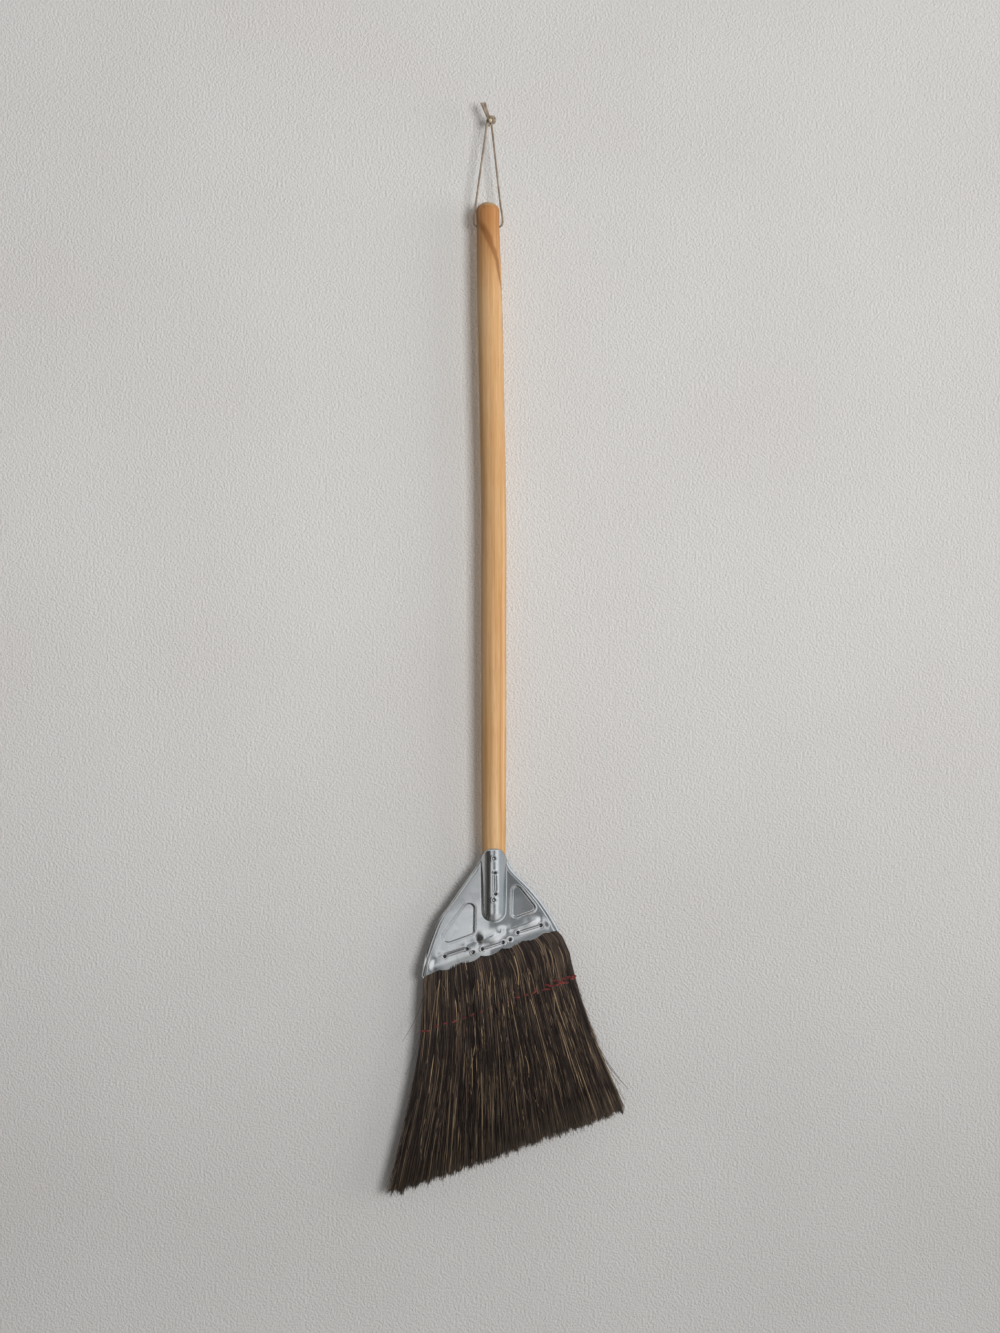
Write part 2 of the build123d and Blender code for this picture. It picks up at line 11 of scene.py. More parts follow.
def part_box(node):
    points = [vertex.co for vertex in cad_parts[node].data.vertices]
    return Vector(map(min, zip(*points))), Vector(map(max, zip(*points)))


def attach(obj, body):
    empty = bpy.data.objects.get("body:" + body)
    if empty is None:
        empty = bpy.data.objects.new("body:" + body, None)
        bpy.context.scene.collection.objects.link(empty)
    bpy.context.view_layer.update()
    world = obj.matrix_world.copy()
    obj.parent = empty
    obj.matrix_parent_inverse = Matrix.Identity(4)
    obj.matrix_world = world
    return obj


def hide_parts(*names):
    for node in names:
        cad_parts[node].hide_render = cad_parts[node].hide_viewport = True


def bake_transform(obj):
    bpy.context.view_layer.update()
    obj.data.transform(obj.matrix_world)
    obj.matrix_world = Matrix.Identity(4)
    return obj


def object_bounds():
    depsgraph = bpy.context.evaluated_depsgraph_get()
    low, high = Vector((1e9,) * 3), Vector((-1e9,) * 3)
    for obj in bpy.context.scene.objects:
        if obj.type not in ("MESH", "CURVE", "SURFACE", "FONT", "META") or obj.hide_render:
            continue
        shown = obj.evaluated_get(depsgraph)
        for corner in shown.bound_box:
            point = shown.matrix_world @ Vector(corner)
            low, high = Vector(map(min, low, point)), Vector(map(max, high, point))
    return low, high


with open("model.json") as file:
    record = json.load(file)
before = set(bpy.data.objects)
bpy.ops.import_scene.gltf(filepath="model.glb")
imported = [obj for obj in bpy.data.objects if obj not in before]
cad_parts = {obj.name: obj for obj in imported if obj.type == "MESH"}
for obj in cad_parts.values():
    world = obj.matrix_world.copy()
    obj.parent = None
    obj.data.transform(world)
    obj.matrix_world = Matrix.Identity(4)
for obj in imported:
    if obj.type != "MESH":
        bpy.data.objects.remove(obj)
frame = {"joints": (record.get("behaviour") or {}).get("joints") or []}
cad_low, cad_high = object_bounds()
scene = bpy.context.scene
scene.view_settings.view_transform = "Standard"


# ---------- camera
# The broom is seen square on, hanging against a wall. The picture takes in 0.863 m of wall from side
# to side at the middle of the broom, and a little more room below the brush than above the loop.
VIEW_WIDTH = 0.863
VIEW_SHAPE = 1333 / 1000
CAMERA_DISTANCE = 2.2
VIEW_OFFSET = Vector((-0.0065, 0, -0.0184))     # from the middle of the broom's box


def placed(name, data):
    """A new object in the scene."""
    made = bpy.data.objects.new(name, data)
    scene.collection.objects.link(made)
    return made


view_centre = (cad_low + cad_high) / 2 + VIEW_OFFSET
camera_data = bpy.data.cameras.new("camera")
camera_data.sensor_width = 36
camera_data.lens = camera_data.sensor_width * CAMERA_DISTANCE / (VIEW_WIDTH * VIEW_SHAPE)
camera = placed("camera", camera_data)
camera.location = (view_centre.x, -CAMERA_DISTANCE, view_centre.z)
camera.rotation_euler = (radians(90), 0, 0)
scene.camera = camera


# ---------- hanging loop
# One length of hemp twine, three plies laid together, runs down from the nail, through the cross-hole
# in the handle and up again. Its two ends are tied together above the nail in one overhand knot.
MM = 0.001
TWINE = 1.7 * MM
TWINE_LAY = 5.4 * MM            # one full turn of a ply
TWINE_SWELL = 1.14              # loosely laid plies stand a little proud of that
PLIES = 3

# Two points on each long straight strand stand close to its ends, where it bends at the shoulders
# of the handle, and two in the hole keep the twine straight there.
loop_route = [
    (-0.0020, 0.0012), (-0.0113, -0.0660), (-0.0124, -0.0740), (-0.0137, -0.0820), (-0.0131, -0.0898),
    (-0.0053, -0.0898), (0.0036, -0.0898),
    (0.0109, -0.0898), (0.0115, -0.0825), (0.0097, -0.0730), (0.0086, -0.0634), (0.0016, 0.0010),
]


def linear(colour):
    """A colour written as six hex digits in sRGB, as the linear RGBA that a shader takes."""
    channels = [int(colour[place:place + 2], 16) / 255 for place in (0, 2, 4)]
    return [c / 12.92 if c <= 0.04045 else ((c + 0.055) / 1.055) ** 2.4 for c in channels] + [1.0]


def node(tree, kind, *inputs, stops=(), **named):
    """Adds a node. Its inputs come in order or by name, each a number, a colour or a node to link from;
    names in small letters are its settings."""
    made = tree.nodes.new("ShaderNode" + kind)
    for name in [name for name in named if name.islower()]:
        setattr(made, name, named.pop(name))
    pairs = [*zip([socket for socket in made.inputs if socket.enabled], inputs)]
    pairs += [(made.inputs[name], value) for name, value in named.items()]
    for socket, value in pairs:
        if isinstance(value, bpy.types.Node):
            value = next(output for output in value.outputs if output.enabled)
        if isinstance(value, bpy.types.NodeSocket):
            tree.links.new(value, socket)
        else:
            socket.default_value = linear(value) if isinstance(value, str) else value
    if stops:
        ramp = made.color_ramp.elements
        while len(ramp) < len(stops):
            ramp.new(0.5)
        for element, (place, colour) in zip(ramp, stops):
            element.position, element.color = place, linear(colour)
    return made


def new_material(name):
    """An empty material, its tree, and the place on the object that its patterns read."""
    material = bpy.data.materials.new(name)
    material.use_nodes = True
    material.node_tree.nodes.clear()
    return material, material.node_tree, node(material.node_tree, "TexCoord").outputs["Object"]


def surfaced(material, inputs):
    """The material with its Principled surface."""
    tree = material.node_tree
    node(tree, "OutputMaterial", node(tree, "BsdfPrincipled", **inputs))
    return material


def piece(name, mesh, material, body=None, stands_for=()):
    """A finished piece at the origin: its object, material, slot, body and the parts it stands for."""
    mesh.materials.clear()
    mesh.materials.append(material)
    made = placed(name, mesh)
    if body:
        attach(made, body)
    if stands_for:
        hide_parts(*stands_for)
    return made


def from_object(data):
    """The finished mesh of a curve or of an object with modifiers, which is then removed."""
    holder = placed("holder", data) if isinstance(data, bpy.types.Curve) else data
    bpy.context.view_layer.update()
    mesh = bpy.data.meshes.new_from_object(holder.evaluated_get(bpy.context.evaluated_depsgraph_get()))
    bpy.data.objects.remove(holder)
    return mesh


def smooth_line(points):
    """The line that a route's points steer, as points close together."""
    data = bpy.data.curves.new("route", "CURVE")
    data.dimensions = "3D"
    data.resolution_u = 24
    spline = data.splines.new("NURBS")
    spline.points.add(len(points) - 1)
    for place, point in zip(spline.points, points):
        place.co = (*point, 1.0)
    spline.order_u = 3
    spline.use_endpoint_u = True
    return [vertex.co.copy() for vertex in from_object(data).vertices]


def spaced(line, step):
    """The same line in equal steps."""
    lengths = [(b - a).length for a, b in zip(line, line[1:])]
    count = max(2, round(sum(lengths) / step))
    place, done, made = 0, 0.0, []
    for index in range(count + 1):
        want = sum(lengths) * index / count
        while place < len(lengths) - 1 and done + lengths[place] < want:
            done += lengths[place]
            place += 1
        made.append(line[place].lerp(line[place + 1], (want - done) / max(lengths[place], 1e-9)))
    return made


def strands(lines, radius, roundness=1, thinning=None, sizes=None):
    """One mesh of round strands, each along its own line of points, with closed ends."""
    data = bpy.data.curves.new("strands", "CURVE")
    data.dimensions = "3D"
    data.bevel_depth = radius
    data.bevel_resolution = roundness
    for number, line in enumerate(lines):
        spline = data.splines.new("POLY")
        spline.points.add(len(line) - 1)
        size = sizes[number] if sizes else 1.0
        for index, (place, point) in enumerate(zip(spline.points, line)):
            place.co = (*point, 1.0)
            place.radius = size * (thinning(index / (len(line) - 1)) if thinning else 1.0)
    mesh = from_object(data)
    tubes = bmesh.new()
    tubes.from_mesh(mesh)
    bmesh.ops.holes_fill(tubes, edges=[edge for edge in tubes.edges if edge.is_boundary], sides=0)
    for face in tubes.faces:
        face.smooth = len(face.verts) == 4
    tubes.to_mesh(mesh)
    tubes.free()
    return mesh


def laid_plies(line, diameter, lay, count, opening=None):
    """The centre lines of the plies of a twisted cord along a line in equal steps."""
    share = sin(pi / count)
    ply_radius = diameter / 2 * share / (1 + share)
    helix_radius = diameter / 2 - ply_radius
    side = (line[1] - line[0]).orthogonal().normalized()
    plies = [[] for _ in range(count)]
    gone = 0.0
    for index, point in enumerate(line):
        ahead = line[min(index + 1, len(line) - 1)] - line[max(index - 1, 0)]
        ahead.normalize()
        side = (side - ahead * side.dot(ahead)).normalized()
        spread = helix_radius * (opening(index / (len(line) - 1)) if opening else 1.0)
        for number, ply in enumerate(plies):
            angle = 2 * pi * (gone / lay + number / count)
            ply.append(point + Matrix.Rotation(angle, 3, ahead) @ side * spread)
        if index + 1 < len(line):
            gone += (line[index + 1] - point).length
    return plies, ply_radius


def stray_hairs(lines, count, length, seed):
    """Short loose fibres that stand off a cord, each as its own thin line."""
    draw = random.Random(seed)
    hairs = []
    for _ in range(count):
        line = draw.choice(lines)
        place = draw.randrange(1, len(line) - 2)
        ahead = (line[place + 1] - line[place]).normalized() * draw.choice((-1, 1))
        aside = Vector([draw.gauss(0, 1) for _ in range(3)])
        aside = (aside - ahead * aside.dot(ahead)).normalized()
        reach = length * draw.uniform(0.4, 1.0)
        hairs.append([line[place] + (ahead * share + aside * share ** 1.6 * 0.6) * reach
                      for share in (0, 0.35, 0.7, 1.0)])
    return hairs


def join(meshes):
    """Several meshes as one."""
    whole = bmesh.new()
    for mesh in meshes:
        whole.from_mesh(mesh)
    joined = bpy.data.meshes.new("joined")
    whole.to_mesh(joined)
    whole.free()
    return joined


def twisted_hemp():
    """Hemp twine: dull grey-tan bast fibre in blotches, with a dry, hairy
    surface that has hardly any shine."""
    material, tree, place = new_material("twisted_hemp")
    # Blotches 6 mm long. The bast fibres are drawn 0.4 mm wide, coarser than they are, so that they show
    blotch = node(tree, "TexNoise", place, Scale=180.0, Detail=3.0)
    fibre = node(tree, "TexNoise", place, Scale=2600.0, Detail=4.0)
    mixed = node(tree, "Mix", 0.5, blotch, fibre)
    colour = node(tree, "ValToRGB", mixed, stops=[(0.33, "7A6B5E"), (0.5, "A09082"), (0.66, "C6B9AB")])
    bump = node(tree, "Bump", Height=fibre, Strength=0.6, Distance=0.0002)
    return surfaced(material, {"Base Color": colour, "Normal": bump, "Roughness": 0.85,
                               "Specular IOR Level": 0.2})


def twine_mesh(line, seed, swell=TWINE_SWELL, opening=None, hairs=0):
    """Twisted plies along a line, with stray hairs."""
    plies, ply_radius = laid_plies(line, TWINE * swell, TWINE_LAY, PLIES, opening=opening)
    made = [strands(plies, ply_radius, roundness=2)]
    if hairs:
        loose = stray_hairs(plies, hairs, 1.6 * MM, seed)
        made.append(strands(loose, 0.05 * MM, roundness=0, thinning=lambda share: 1 - 0.6 * share))
    return join(made)


hemp = twisted_hemp()
loop_line = spaced(smooth_line([(x, 0, z) for x, z in loop_route]), 0.45 * MM)
loop = piece("hanging_loop", twine_mesh(loop_line, 3, hairs=420), hemp,
             "hanging_cord", ["cord_loop"])


# ---------- knot and tails
# The overhand knot in the doubled twine is pulled down tight against the nail. The two cut ends
# stand up to the left and have begun to unlay.
tail_routes = {
    "cord_tail_left": [(-0.0016, -0.0008, 0.0050), (-0.0043, -0.0011, 0.0106), (-0.0066, -0.0009, 0.0172)],
    "cord_tail_right": [(-0.0006, 0.0009, 0.0054), (-0.0026, 0.0012, 0.0112), (-0.0044, 0.0010, 0.0176)],
}
KNOT_CENTRE = Vector((0.0013, 0, 0.0026))
KNOT_REACH = (4.3 * MM, 3.1 * MM)       # half width and half height of the knot, to the twine's middle
KNOT_THICK = 1.5 * MM                   # the twine's swing to the front and the back where it crosses
PAIR_GAP = 0.72 * MM                    # half the distance between the two twines side by side
TAIL_SWELL = 1.42                       # the cut ends have begun to unlay


def knot_line(start, leaving, end, side):
    """One of the two twines through the overhand knot: in from below, round three lobes, out on top."""
    points = [start, start + leaving * 1.0 * MM]
    turns = 15
    for index in range(turns):
        angle = 0.32 + (2 * pi - 0.64) * index / (turns - 1)
        swell = 0.66 + 0.34 * cos(3 * angle) + side * PAIR_GAP / KNOT_REACH[0]
        points.append(KNOT_CENTRE + Vector((-cos(2 * angle) * swell * KNOT_REACH[0],
                                            sin(3 * angle) * KNOT_THICK + side * 0.25 * MM,
                                            sin(2 * angle) * swell * KNOT_REACH[1])))
    return spaced(smooth_line(points + [end]), 0.35 * MM)


knot_parts = []
ends = (loop_line[0], loop_line[-1])
headings = ((loop_line[0] - loop_line[1]).normalized(), (loop_line[-1] - loop_line[-2]).normalized())
for side, start, heading, (name, route) in zip((-1, 1), ends, headings, tail_routes.items()):
    knot_parts.append(twine_mesh(knot_line(start, heading, Vector(route[0]), side), 11 + side, hairs=24))
    tail_line = spaced(smooth_line(route), 0.35 * MM)
    tail = twine_mesh(tail_line, 21 + side, TAIL_SWELL, lambda share: 1 + 0.4 * max(0.0, share - 0.6) / 0.4, 60)
    piece(name.replace("cord", "twine"), tail, hemp, "hanging_cord", [name])
knot = piece("overhand_knot", join(knot_parts), hemp, "hanging_cord", ["cord_knot"])


# ---------- wall, nail and light
# The backdrop is a pale plastered wall just behind the brush. It shows to the camera and in
# reflections from the front only, so that the back of the broom can be seen and is lit too.
WALL_GAP = 4.5 * MM
WALL_SIZE = 6.0
NAIL_PLACE = Vector((0.8 * MM, 0, 1.3 * MM))


def pale_plaster():
    """Trowelled plaster painted off-white: matt, with a fine pitted grain, and painted shade that greys it
    towards the floor and to the right.
    """
    material, tree, place = new_material("pale_plaster")
    # Grains 2 mm across and clouds 200 mm wide
    grain = node(tree, "TexNoise", place, Scale=520.0, Detail=3.0)
    broad = node(tree, "TexNoise", place, Scale=5.0, Detail=2.0)
    bump = node(tree, "Bump", Height=grain, Strength=0.8, Distance=0.0017)
    shade = node(tree, "ValToRGB", broad, stops=[(0.35, "DBDADA"), (0.65, "DEDEDE")])
    # Painted shade: the plaster is drawn greyer towards the floor and to the right, to shape how the light
    # falls across the wall
    x, _, z = node(tree, "SeparateXYZ", place).outputs
    low = node(tree, "MapRange", z, -0.35, -1.05, 1.0, 0.80, interpolation_type="SMOOTHSTEP")
    aside = node(tree, "MapRange", x, -0.15, 0.45, 1.06, 0.92)
    for share in (low, aside):
        shade = node(tree, "VectorMath", shade, share, operation="MULTIPLY")
    plaster = node(tree, "BsdfPrincipled", **{"Base Color": shade, "Normal": bump, "Roughness": 0.95,
                                              "Specular IOR Level": 0.1})
    rays = node(tree, "LightPath").outputs
    seen = rays["Is Camera Ray"]
    for kind in ("Is Glossy Ray", "Is Transmission Ray"):
        seen = node(tree, "Math", seen, rays[kind], operation="MAXIMUM")
    back = node(tree, "NewGeometry").outputs["Backfacing"]
    shown = node(tree, "Math", seen, back, operation="SUBTRACT", use_clamp=True)
    clear = node(tree, "BsdfTransparent")
    node(tree, "OutputMaterial", node(tree, "MixShader", shown, clear, plaster))
    return material


def meshed(shape, name, sharp=None, unit=1.0):
    """A bmesh as a mesh in metres, smooth but for the edges that turn by more than some degrees."""
    bmesh.ops.scale(shape, verts=shape.verts, vec=(unit, unit, unit))
    mesh = bpy.data.meshes.new(name)
    shape.to_mesh(mesh)
    shape.free()
    mesh.polygons.foreach_set("use_smooth", [True] * len(mesh.polygons))
    if sharp:
        mesh.set_sharp_from_angle(angle=radians(sharp))
    return mesh


def scenery(name, shape, material):
    """A thing by the broom that is no part of it."""
    made = placed(name, meshed(shape, name))
    made.data.materials.append(material)


def moved(shape, verts=None, size=(1, 1, 1), turn=None, by=(0, 0, 0)):
    """Sizes some or all points of a bmesh, turns them a quarter round an axis, and moves them."""
    verts = verts or shape.verts
    bmesh.ops.scale(shape, verts=verts, vec=size)
    if turn:
        bmesh.ops.rotate(shape, verts=verts, cent=(0, 0, 0), matrix=Matrix.Rotation(radians(90), 3, turn))
    bmesh.ops.translate(shape, verts=verts, vec=by)


wall_shape = bmesh.new()
bmesh.ops.create_grid(wall_shape, x_segments=1, y_segments=1, size=WALL_SIZE / 2)
moved(wall_shape, turn="X", by=(view_centre.x, cad_high.y + WALL_GAP, view_centre.z))
scenery("wall", wall_shape, pale_plaster())

# The nail is round brass wire with a domed head. It belongs to the wall.
NAIL_SHANK = 0.9 * MM
NAIL_HEAD = 1.5 * MM
NAIL_STANDS_OUT = 4.6 * MM

nail_shape = bmesh.new()
nail_depth = cad_high.y + WALL_GAP + NAIL_STANDS_OUT
bmesh.ops.create_cone(nail_shape, cap_ends=True, segments=20, radius1=NAIL_SHANK, radius2=NAIL_SHANK,
                      depth=nail_depth)
moved(nail_shape, by=(0, 0, nail_depth / 2))
head = bmesh.ops.create_uvsphere(nail_shape, u_segments=24, v_segments=14, radius=NAIL_HEAD)["verts"]
moved(nail_shape, head, size=(1, 1, 0.55), by=(0, 0, nail_depth))
moved(nail_shape, turn="X", by=NAIL_PLACE + Vector((0, cad_high.y + WALL_GAP, 0)))


def turned_brass():
    """Brass drawn into wire and headed cold: warm yellow metal, a little dulled."""
    material, tree, place = new_material("turned_brass")
    dulling = node(tree, "TexNoise", place, Scale=700.0)       # spots of 1.4 mm
    rough = node(tree, "MapRange", dulling, 0.0, 1.0, 0.4, 0.6)
    return surfaced(material, {"Roughness": rough, "Base Color": "F2E0B8", "Metallic": 1.0})


scenery("nail", nail_shape, turned_brass())

# Three square lamps face the broom: the window, the light it throws off the side wall, and one behind
for name, spot, size, power, colour in (("window", (1.34, -3.0, -0.25), 1.1, 63.0, "FFFEFC"),
                                        ("side", (2.3, -0.75, -0.3), 1.4, 18.0, "FFFCF7"),
                                        ("behind", (-1.1, 2.6, 0.1), 1.2, 40.0, "FFFEFC")):
    lamp = placed(name, bpy.data.lights.new(name, "AREA"))
    lamp.data.size, lamp.data.energy, lamp.data.color = size, power, linear(colour)[:3]
    lamp.location = spot
    lamp.rotation_euler = (view_centre - lamp.location).to_track_quat("-Z", "Y").to_euler()
    lamp.visible_glossy = False


def room_light():
    """The room all round: pale, lighter to the right. The bright sheet mirrors more of it: a dim
    corner far to the left, a light wall near the left, a shaded one ahead and a window to the right."""
    world = bpy.data.worlds.new("room")
    world.use_nodes = True
    tree = world.node_tree
    tree.nodes.clear()
    direction = node(tree, "TexCoord").outputs["Generated"]
    x, y, z = node(tree, "SeparateXYZ", direction).outputs
    lean = node(tree, "VectorMath", direction, (0.17, 0.04, 0.06), operation="DOT_PRODUCT")
    pale = node(tree, "Math", lean, 0.31, operation="ADD")
    around = node(tree, "Background", "F8F4EF", pale)
    sideways = node(tree, "MapRange", x, -1.0, 1.0)
    mirrored = node(tree, "ValToRGB", sideways,
                    stops=[(0.0, "6E6B67"), (0.02, "6E6B67"), (0.05, "3A3836"), (0.25, "363432"),
                           (0.34, "F4F4F4"), (0.38, "F4F4F4"), (0.42, "B2B4B6"), (0.49, "BCBEC0"),
                           (0.53, "505254"), (0.61, "525456"), (0.67, "FFFFFF"), (0.80, "FFFFFF"),
                           (0.90, "B0B8BC"), (1.0, "B0B8BC")])
    upper = [(0.0, "98948E"), (0.35, "F4F3F1"), (0.6, "FFFFFF"), (1.0, "D4D8DC")]
    floor = [(0.35, "4A4845"), (0.5, "6A6866"), (0.62, "D4D4D2"), (1.0, "F0F0EE")]
    ceiling = [(0.0, "4E4C4A"), (1.0, "4E4C4A")]
    # The far side of the room, which only the back of the broom mirrors
    beyond = [(0.1, "6A6965"), (0.40, "A9ABAC"), (0.56, "D6D7D8"), (0.9, "8C8F91")]
    # Each lies over the ones before it, from one direction to another, as far as its last number says
    for stops, way, begins, ends, most in ((upper, z, 0.20, 0.55, 1.0), (floor, z, -0.25, -0.6, 0.75),
                                           (ceiling, z, 0.62, 0.85, 0.85), (beyond, y, 0.15, 0.55, 1.0)):
        over = node(tree, "ValToRGB", sideways, stops=stops)
        share = node(tree, "MapRange", way, begins, ends, 0.0, most, interpolation_type="SMOOTHSTEP")
        mirrored = node(tree, "Mix", share, mirrored, over, data_type="RGBA")
    rays = node(tree, "LightPath").outputs
    lit = node(tree, "MixShader", rays["Is Glossy Ray"], around, node(tree, "Background", mirrored, 1.25))
    plain = node(tree, "Background", "D0CECC", 1.0)
    node(tree, "OutputWorld", node(tree, "MixShader", rays["Is Camera Ray"], lit, plain))
    return world


scene.world = room_light()


# ---------- handle
# A pine dowel of 22 mm, rubbed down by hand. It bends a little half-way up and is nowhere quite true.
# It narrows to its cut and rounded top, where the loop has worn the left shoulder away, and its lower
# end is shaved to a push fit in the socket.
SOCKET_X = (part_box("socket_nail_lower")[0].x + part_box("socket_nail_lower")[1].x) / 2
joints = {joint["name"]: joint for joint in frame["joints"]}
HOLE_PLACE = Vector(joints["cord_swing"]["pos_m"])
HOLE_RADIUS = 1.5 * MM
FLARE = 2.2 * MM                # how far the countersunk mouths open, how deep, and where their middles lie
FLARE_DEEP = 3.2 * MM
FLARE_OUT = 10.6 * MM
BEND_Z = -0.325
BEND_REACH = 0.05
HANDLE_LEAN = tan(radians(1.2))
HANDLE_ROUND = 10.8 * MM        # its usual radius
HANDLE_SIDES = 72
HANDLE_RINGS = 230
DOME_RINGS = 12
DOME = 7.4 * MM
TOP_RISE = 1.3 * MM             # the rounded top stands this much above the handle's core
# How far below the top, and the radius there
handle_profile = [(0.0, 9.9), (4.0, 10.15), (9.0, 10.05), (20.0, 9.85), (34.0, 10.1), (60.0, 10.6),
                  (100.0, 10.95), (160.0, 11.0), (280.0, 10.9), (400.0, 11.0), (470.0, 10.85),
                  (520.0, 10.65), (548.0, 10.42), (560.0, 10.3), (606.0, 10.3), (610.5, 9.2), (612.8, 5.0)]
SOCKET_FROM = 557.0             # the wood is pressed in under the sheet below here, by PRESSED_IN
PRESSED_IN = 1.3 * MM
WORN_DOWN = 1.5 * MM            # the left shoulder is this much lower
CHIP_PLACE = Vector((-4.3 * MM, -8.0 * MM, -5.2 * MM))     # from the middle of the top
CHIP_WIDE = 2.0 * MM
CHIP_DEEP = 0.9 * MM

handle_low, handle_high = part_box("handle")


def limited(value):
    """The value, or the nearer of 0 and 1 where it lies outside them."""
    return min(1.0, max(0.0, value))


def between(table, place, soft=False):
    """A value read off a table of pairs, in straight steps or in soft ones."""
    for (x0, y0), (x1, y1) in zip(table, table[1:]):
        if place <= x1:
            share = max(0.0, (place - x0) / (x1 - x0))
            return y0 + (y1 - y0) * (share * share * (3 - 2 * share) if soft else share)
    return table[-1][1]


def handle_middle(z):
    """X of the handle's middle: straight, then a soft bend, then leaning to the left."""
    above = z - BEND_Z
    if above > BEND_REACH:
        return SOCKET_X - HANDLE_LEAN * above
    if above < -BEND_REACH:
        return SOCKET_X
    return SOCKET_X - HANDLE_LEAN * (above + BEND_REACH) ** 2 / (4 * BEND_REACH)


def shaved(point):
    """How far the wood stands above or below its round there, in metres: rubbed flats and hollows."""
    broad = noise.noise(Vector((point.x * 55, point.y * 55, point.z * 9)))
    flats = noise.noise(Vector((point.x * 150, point.y * 150, point.z * 16 + 7)))
    return (0.22 * broad + 0.10 * flats) * MM


stick = bmesh.new()
bmesh.ops.create_cone(stick, cap_ends=True, segments=HANDLE_SIDES, radius1=1, radius2=1, depth=1)
upright = [edge for edge in stick.edges if abs(edge.verts[0].co.z - edge.verts[1].co.z) > 0.5]
bmesh.ops.subdivide_edges(stick, edges=upright, cuts=HANDLE_RINGS)
for end in (-1, 1):
    lid = max(stick.faces, key=lambda face: face.normal.z * end)
    for ring in range(DOME_RINGS):
        bmesh.ops.inset_region(stick, faces=[lid], thickness=1 / (DOME_RINGS + 1))
    bmesh.ops.poke(stick, faces=[lid])
handle_top = handle_high.z + TOP_RISE
top_middle = Vector((handle_middle(handle_top), 0, handle_top))
for vertex in stick.verts:
    out = sin(min(1.0, Vector((vertex.co.x, vertex.co.y)).length) * pi / 2)
    on_top = vertex.co.z > 0.4999
    share = (0.5 - vertex.co.z) ** 1.35
    z = handle_top - DOME + (handle_low.z - handle_top + DOME) * share
    if on_top:
        z = handle_top - DOME * (1 - sqrt(max(0.0, 1 - out * out)))
    below = (handle_high.z - min(z, handle_top - DOME)) / MM
    turn = atan2(vertex.co.y, vertex.co.x)
    pressed = limited((below - SOCKET_FROM) / 5) * limited((abs(sin(turn)) - 0.5) / 0.3)
    radius = (between(handle_profile, below, soft=True) * MM - PRESSED_IN * pressed) * out
    spot = Vector((cos(turn) * radius, sin(turn) * radius, z))
    spot += Vector((cos(turn), sin(turn), 0)) * shaved(spot) * out
    to_left = limited((-spot.x / MM - 2.0) / 7.5)
    near_top = limited(1 - (handle_top - z) / (18 * MM))
    spot.z -= WORN_DOWN * to_left * to_left * near_top
    spot.x += handle_middle(spot.z)
    chip = (spot - top_middle - CHIP_PLACE).length / CHIP_WIDE
    if chip < 2.5:
        spot += (Vector((0, 1, -0.6)) * CHIP_DEEP) * exp(-chip * chip * 1.4)
    vertex.co = spot
bmesh.ops.recalc_face_normals(stick, faces=stick.faces)

# The cross-hole for the twine, with its mouths opened out by a countersink.
drill = bmesh.new()
bmesh.ops.create_cone(drill, cap_ends=True, segments=32, radius1=HOLE_RADIUS, radius2=HOLE_RADIUS,
                      depth=40 * MM)
for side in (-1, 1):
    flare = bmesh.ops.create_cone(drill, cap_ends=True, segments=32, radius1=HOLE_RADIUS * 0.9,
                                  radius2=HOLE_RADIUS + FLARE, depth=FLARE_DEEP)["verts"]
    moved(drill, flare, size=(1, 1, side), by=(0, 0, side * FLARE_OUT))
bmesh.ops.recalc_face_normals(drill, faces=drill.faces)
moved(drill, turn="Y", by=HOLE_PLACE)
drill_bit = placed("drill", meshed(drill, "drill"))
bored = placed("bored", meshed(stick, "stick"))
cut = bored.modifiers.new("hole", "BOOLEAN")
cut.operation, cut.solver, cut.use_self, cut.object = "DIFFERENCE", "EXACT", True, drill_bit
handle_mesh = from_object(bored)
bpy.data.objects.remove(drill_bit)
handle_mesh.polygons.foreach_set("use_smooth", [True] * len(handle_mesh.polygons))
handle_mesh.set_sharp_from_angle(angle=radians(42))


